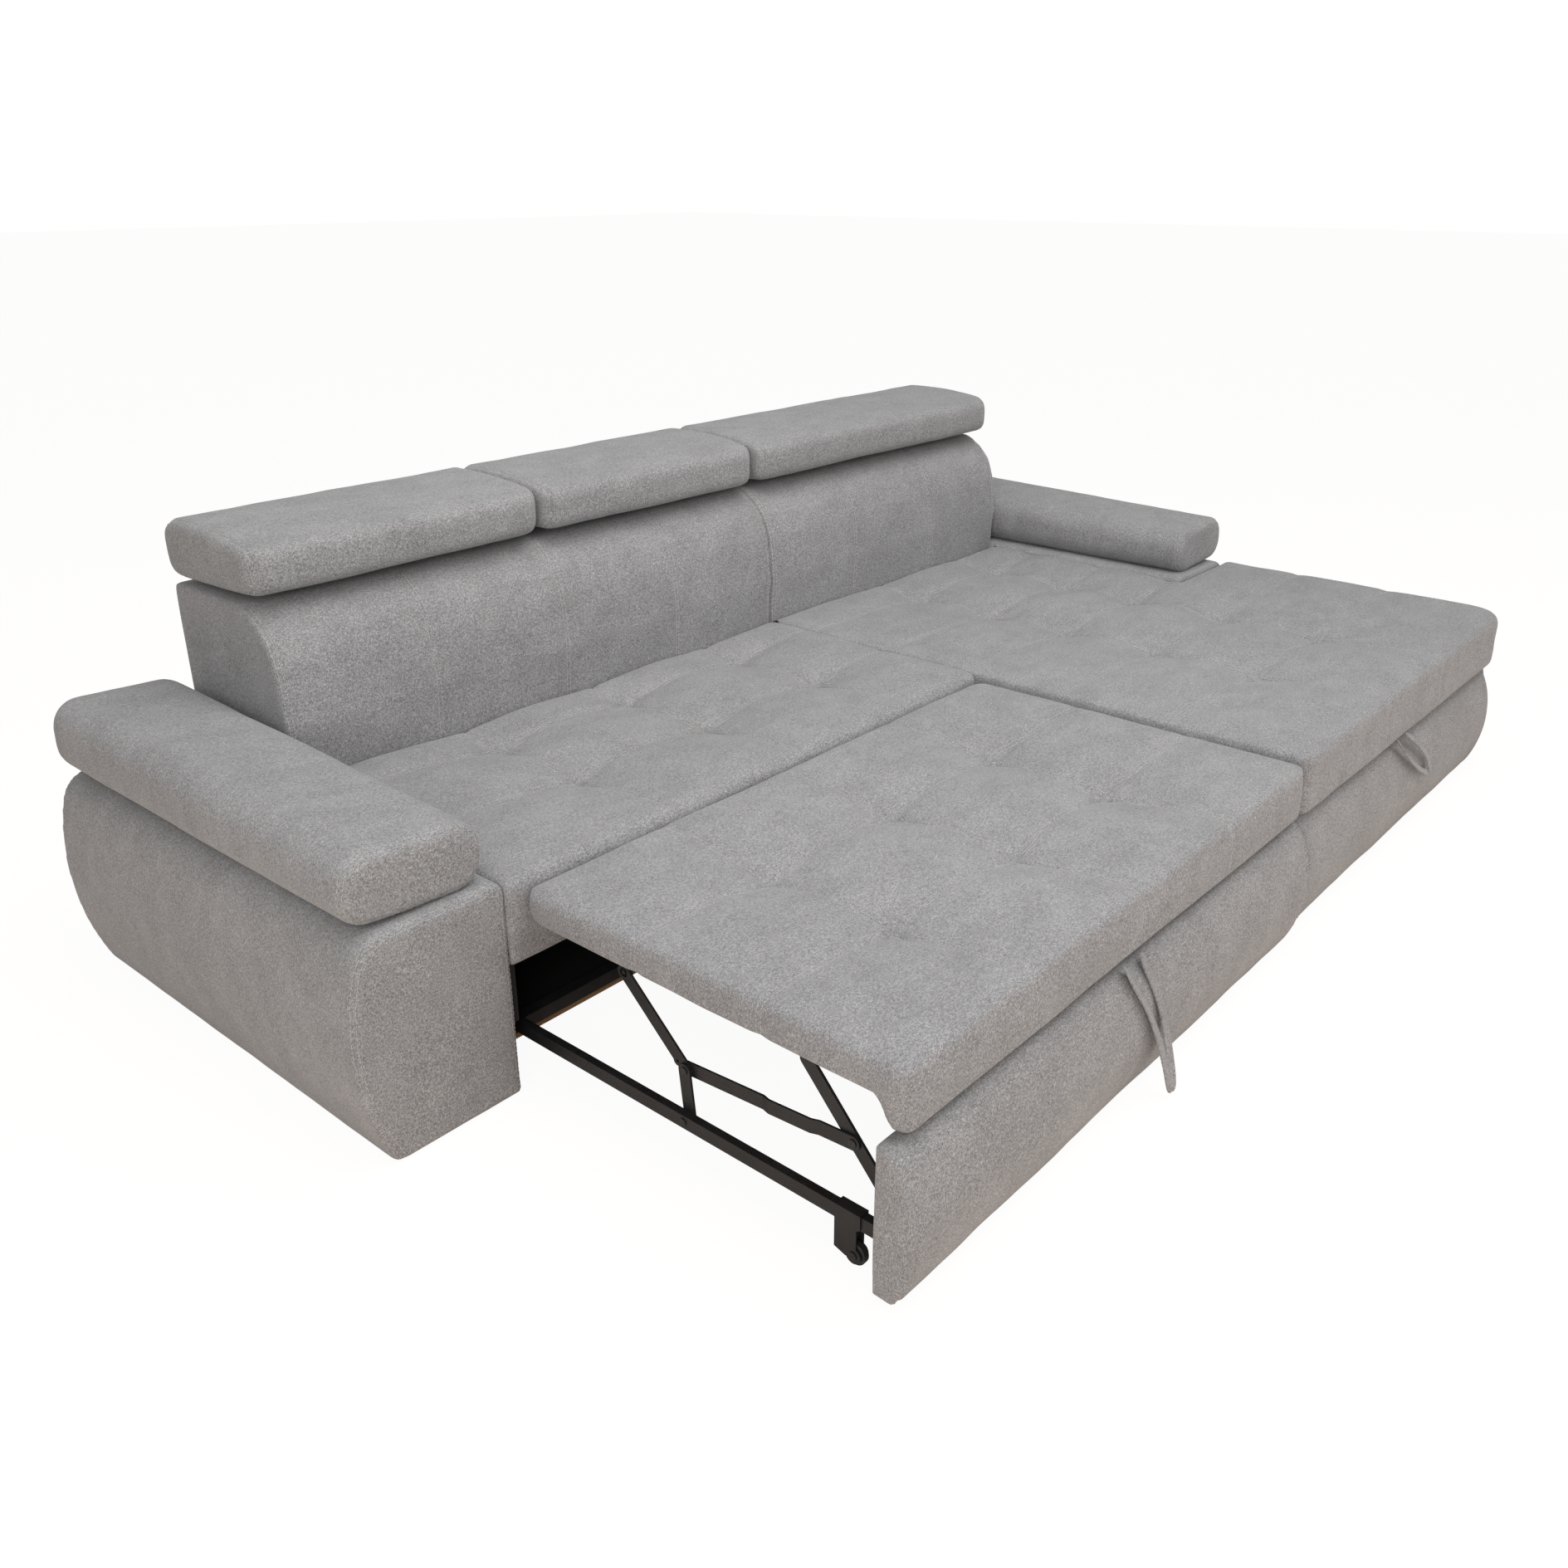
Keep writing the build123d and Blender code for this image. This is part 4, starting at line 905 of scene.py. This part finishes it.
# Swelling fronts, as (depth before the board, height)
COVER_FRONT = ((26, 14), (36, 40), (52, 100), (56, 158), (48, 205), (30, 252), (14, 272))


class SOFA_OT_front_covers(PieceOperator, bpy.types.Operator):
    """Upholster the swelling fronts of the bed and the chaise, and the chaise's side"""

    bl_idname = "sofa.front_covers"
    bl_label = "Fronts"

    def execute(self, context):
        """Make both fronts with a plain seam near each end, then the side."""
        for name, node, body, start, end, rear in (
                ("bed_front_cover", "front_panel_cover", "pullout_frame", 317, 1693, 1780),
                ("chaise_front_skin", "chaise_front_cover", "sofa", 1704.7, 3050, 1766.3)):
            paths = [upright(distance, COVER_FRONT, rear)
                     for distance in (start + END_INSET, end - END_INSET)]
            board = (start + 1, end - 1, block(rear - 15, rear + 12, 12, 274))
            rolled = body == "pullout_frame"
            upholster(name, [node, "front_panel_board"] if rolled else [node], body, paths,
                      rounds=2, deep=1.1, wide=0.45, swell=0.001, thread=0,
                      wraps=[board] if rolled else [],
                      corners=[] if rolled else [(end, rear + 57, 0.12)])
        upholster("chaise_side_cover", ["chaise_side_right"], "sofa", rounds=2, wobble=0.5,
                  swell=0.001)
        return {"FINISHED"}


# Pull loops: two legs each, as (along, depth, height), and the strap they are made of
BED_LOOP = (((938, 1806, 287), (955, 1816, 250), (975, 1832, 212), (1000, 1845, 158),
             (1016, 1857, 102), (1026, 1867, 60), (1032, 1876, 14)),
            ((996, 1806, 287), (1016, 1818, 240), (1029, 1835, 196), (1036, 1846, 150),
             (1040, 1856, 105), (1042, 1866, 58), (1040, 1877, 13)))
CHAISE_LOOP = (((2245, 1803, 288), (2285, 1818, 240), (2345, 1828, 195), (2400, 1833, 165),
                (2448, 1834, 146)),
               ((2300, 1803, 288), (2360, 1820, 248), (2415, 1829, 205), (2440, 1833, 172),
                (2452, 1836, 144)))
LEG_TURNS = (0.9, 0.35)
STRAP_SLOPE, STRAP_THICKNESS, STRAP_EDGE = 0.25, 0.0034, 0.0009


class SOFA_OT_pull_loops(PieceOperator, bpy.types.Operator):
    """Make the two pull loops of folded and sewn cover fabric"""

    bl_idname = "sofa.pull_loops"
    bl_label = "Pull loops"

    def execute(self, context):
        """Hang both loops, each of two legs that meet at its sewn end."""
        for name, node, body, legs, width in (
                ("bed_pull_tape", "bed_pull_loop", "bed", BED_LOOP, 24),
                ("chaise_pull_tape", "chaise_pull_loop", "chaise_lid", CHAISE_LOOP, 20)):
            shape = bmesh.new()
            for leg, turn in zip(legs, LEG_TURNS):
                self.strap(shape, leg, width, turn)
            mesh = modified(mesh_of(shape, name),
                            ("SUBSURF", {"levels": 2, "render_levels": 2}),
                            ("SOLIDIFY", {"thickness": STRAP_THICKNESS, "offset": 0.0}),
                            ("BEVEL", {"width": STRAP_EDGE, "segments": 2}))
            piece = place(name, mesh, "flock_cover", body, [node])
            if body == "bed":
                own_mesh(piece)
        return {"FINISHED"}

    def strap(self, shape, leg, width, turn):
        """One flat leg along its places; at its top its width turns towards the side."""
        edge = None
        for step, (distance, depth, height) in enumerate(leg):
            angle = turn * (1 - step / (len(leg) - 1))
            half = Vector((math.cos(angle), math.sin(angle), STRAP_SLOPE)) * (width / 2 * MM)
            middle = Vector((across(distance), ahead(depth), height * MM))
            if edge is None:
                ends = [shape.verts.new(middle - half), shape.verts.new(middle + half)]
                edge = shape.edges.new(ends)
                continue
            grown = bmesh.ops.extrude_edge_only(shape, edges=[edge])["geom"]
            edge = next(part for part in grown if isinstance(part, bmesh.types.BMEdge)
                        and all(vert in grown for vert in part.verts))
            low, high = edge.verts
            if (low.co - high.co).dot(half) > 0:
                low, high = high, low
            low.co, high.co = middle - half, middle + half


class SOFA_OT_boards(PieceOperator, bpy.types.Operator):
    """Finish the timber, the boards and the lining"""

    bl_idname = "sofa.boards"
    bl_label = "Boards"

    def execute(self, context):
        """Draw the battens in, cut the lining back and paint the rest."""
        battens = merged_solids(["bed_battens"])
        middle = across(BED_MIDDLE)
        for vert in battens.vertices:
            bed_edge(vert.co)
            vert.co.x = middle + (vert.co.x - middle) * BATTEN_SQUEEZE
            vert.co.z -= BATTEN_DROP * MM
        place("bed_slats", battens, "raw_pine", "bed", ["bed_battens"], smooth=False)
        paint(["chaise_side_left", "chaise_side_rear", "chaise_return", "chaise_rear_rail",
               "chaise_rear_deck", "chaise_front_board", "chaise_floor", "bed_board",
               "headrest_1_frame", "headrest_2_frame", "headrest_3_frame"], "raw_chipboard")
        paint(["base_floor", "main_seat_frame"], "black_lining")
        paint(["seat_webbing"], "woven_tape")
        place("base_floor_edge", merged_solids([], [(325, 1685, block(890, 911, 40, 51))]),
              "raw_pine", "sofa", ["base_front_strip"], smooth=False)
        trimmed("base_sides", "base_lining", "black_lining", LINING_CUT)
        return {"FINISHED"}


class SOFA_OT_steelwork(PieceOperator, bpy.types.Operator):
    """Finish the rails, links, brackets and rivets"""

    bl_idname = "sofa.steelwork"
    bl_label = "Steelwork"

    def execute(self, context):
        """Powder coat the steel and darken the rivets."""
        paint(["pullout_rails", "pullout_cross_tubes", "roller_brackets", "front_link_ears",
               "front_links", "lower_links", "upper_bars", "coupler_bars", "link_brackets",
               "headrest_brackets", "lid_hinge_plates", "lid_hinge_arms"],
              "black_powder_coat")
        trimmed("runner_channels", "sliding_channels", "black_powder_coat",
                CHANNEL_CUT)
        paint(["roller_axles", "rail_rivets", "coupler_rivets", "knee_rivets"], "dark_zinc")
        return {"FINISHED"}


class SOFA_OT_plastics(PieceOperator, bpy.types.Operator):
    """Finish the rollers, shoes and glides"""

    bl_idname = "sofa.plastics"
    bl_label = "Plastics"

    def execute(self, context):
        """Give the mouldings their plastic."""
        paint(["glides", "runner_shoes", "roller_left", "roller_right"], "black_moulding")
        return {"FINISHED"}


# The photograph's side and optical centre, in pixels
PHOTO_SIDE = 1889
CENTRE_X, CENTRE_Y = 953, 924

# Floor and sky as the camera sees them, and the soft boxes: place, aim, size, share of power
FLOOR_SIZE, FLOOR_WHITE, FLOOR_BLEND = 40, 1.05, 0.9
SKY_COLOUR = (0.97, 0.98, 1.0, 1)
LAMPS = (("overhead", (-0.2, -0.9, 3.7), (0, 0, 0.4), 3.0, 0.8),
         ("left", (-4.0, -2.2, 2.4), (-0.6, 0, 0.3), 2.4, 0.55),
         ("right", (3.2, -3.8, 2.2), (0.6, 0, 0.3), 2.4, 0.2))


class SOFA_OT_stage(PieceOperator, bpy.types.Operator):
    """Set up the camera, floor, sky and lamps"""

    bl_idname = "sofa.stage"
    bl_label = "Stage"

    def execute(self, context):
        """Build the stage around the sofa."""
        self.camera(context)
        self.floor(context)
        self.light(context)
        context.scene.view_settings.view_transform = "Standard"
        return {"FINISHED"}

    def camera(self, context):
        """The camera of the photograph, 1889 pixels square."""
        look = context.scene.sofa_stage
        lens = bpy.data.cameras.new("view")
        lens.sensor_width = 36
        lens.sensor_fit = "HORIZONTAL"
        lens.lens = look.focal
        lens.shift_x = (PHOTO_SIDE / 2 - CENTRE_X) / PHOTO_SIDE
        lens.shift_y = (CENTRE_Y - PHOTO_SIDE / 2) / PHOTO_SIDE
        lens.clip_end = 200
        camera = bpy.data.objects.new("view", lens)
        camera.location = (LEFT + look.eye[0], BACK - look.eye[1], look.eye[2])
        camera.rotation_euler = (math.radians(90) - look.pitch, 0, -look.yaw)
        context.scene.collection.objects.link(camera)
        context.scene.camera = camera

    def floor(self, context):
        """A pale floor that the camera sees as nearly white, with the sofa's shadow on it."""
        look = context.scene.sofa_stage
        shape = bmesh.new()
        bmesh.ops.create_grid(shape, x_segments=8, y_segments=8, size=FLOOR_SIZE)
        mesh = mesh_of(shape, "floor")
        floor = bpy.data.objects.new("floor", mesh)
        context.scene.collection.objects.link(floor)
        material, tree, shader = blank("studio_floor")
        shader.inputs["Base Color"].default_value = (*look.floor, 1)
        shader.inputs["Roughness"].default_value = 0.9
        white = add(tree, "ShaderNodeEmission", Color=(1, 1, 1, 1),
                    Strength=FLOOR_WHITE)
        path = tree.nodes.new("ShaderNodeLightPath")
        share = add(tree, "ShaderNodeMath", operation="MULTIPLY")
        share.inputs[1].default_value = FLOOR_BLEND
        mix = tree.nodes.new("ShaderNodeMixShader")
        tree.links.new(path.outputs["Is Camera Ray"], share.inputs[0])
        tree.links.new(share.outputs["Value"], mix.inputs["Fac"])
        tree.links.new(shader.outputs["BSDF"], mix.inputs[1])
        tree.links.new(white.outputs["Emission"], mix.inputs[2])
        tree.links.new(mix.outputs["Shader"], tree.nodes["Material Output"].inputs["Surface"])
        mesh.materials.append(material)

    def light(self, context):
        """Even sky, white to the camera, and three soft boxes."""
        look = context.scene.sofa_stage
        world = bpy.data.worlds.new("studio")
        context.scene.world = world
        world.use_nodes = True
        tree = world.node_tree
        sky = tree.nodes["Background"]
        sky.inputs["Color"].default_value = SKY_COLOUR
        sky.inputs["Strength"].default_value = look.sky
        white = add(tree, "ShaderNodeBackground", Color=(1, 1, 1, 1), Strength=1.0)
        path = tree.nodes.new("ShaderNodeLightPath")
        seen = add(tree, "ShaderNodeMath", operation="MAXIMUM")
        mix = tree.nodes.new("ShaderNodeMixShader")
        tree.links.new(path.outputs["Is Camera Ray"], seen.inputs[0])
        tree.links.new(path.outputs["Is Transmission Ray"], seen.inputs[1])
        tree.links.new(seen.outputs["Value"], mix.inputs["Fac"])
        tree.links.new(sky.outputs["Background"], mix.inputs[1])
        tree.links.new(white.outputs["Background"], mix.inputs[2])
        tree.links.new(mix.outputs["Shader"], tree.nodes["World Output"].inputs["Surface"])
        for name, spot, aim, size, share in LAMPS:
            lamp = bpy.data.lights.new(name, "AREA")
            lamp.size = size
            lamp.energy = look.lamp * share
            holder = bpy.data.objects.new(name, lamp)
            holder.location = spot
            line = Vector(aim) - Vector(spot)
            holder.rotation_euler = line.to_track_quat("-Z", "Y").to_euler()
            context.scene.collection.objects.link(holder)


PIECES = (SOFA_OT_arm_bases, SOFA_OT_arm_pads, SOFA_OT_backrests, SOFA_OT_headrests,
          SOFA_OT_main_seat, SOFA_OT_bed_mattress, SOFA_OT_chaise, SOFA_OT_front_covers,
          SOFA_OT_pull_loops, SOFA_OT_boards, SOFA_OT_steelwork, SOFA_OT_plastics,
          SOFA_OT_stage)
SETTINGS = (("sofa_fabric", SofaFabricSettings), ("sofa_frame", SofaFrameSettings),
            ("sofa_stage", SofaStageSettings))


class SOFA_PT_pieces(bpy.types.Panel):
    """Lists the sofa's settings and pieces"""

    bl_idname = "SOFA_PT_pieces"
    bl_label = "Sofa Bed"
    bl_space_type = "VIEW_3D"
    bl_region_type = "UI"
    bl_category = "Sofa Bed"

    def draw(self, context):
        """Show every setting, then a button for each piece."""
        for name, group in SETTINGS:
            box = self.layout.box()
            for key in group.__annotations__:
                box.prop(getattr(context.scene, name), key)
        for piece in PIECES:
            self.layout.operator(piece.bl_idname)


def register():
    """Register the settings, operators and panel."""
    for name, group in SETTINGS:
        bpy.utils.register_class(group)
        setattr(bpy.types.Scene, name, bpy.props.PointerProperty(type=group))
    for piece in PIECES:
        bpy.utils.register_class(piece)
    bpy.utils.register_class(SOFA_PT_pieces)


def unregister():
    """Remove what register added."""
    bpy.utils.unregister_class(SOFA_PT_pieces)
    for piece in reversed(PIECES):
        bpy.utils.unregister_class(piece)
    for name, group in SETTINGS:
        delattr(bpy.types.Scene, name)
        bpy.utils.unregister_class(group)


def main():
    """Register, then make every piece in order."""
    register()
    for piece in PIECES:
        group, name = piece.bl_idname.split(".")
        getattr(getattr(bpy.ops, group), name)()


if __name__ == "__main__":
    main()
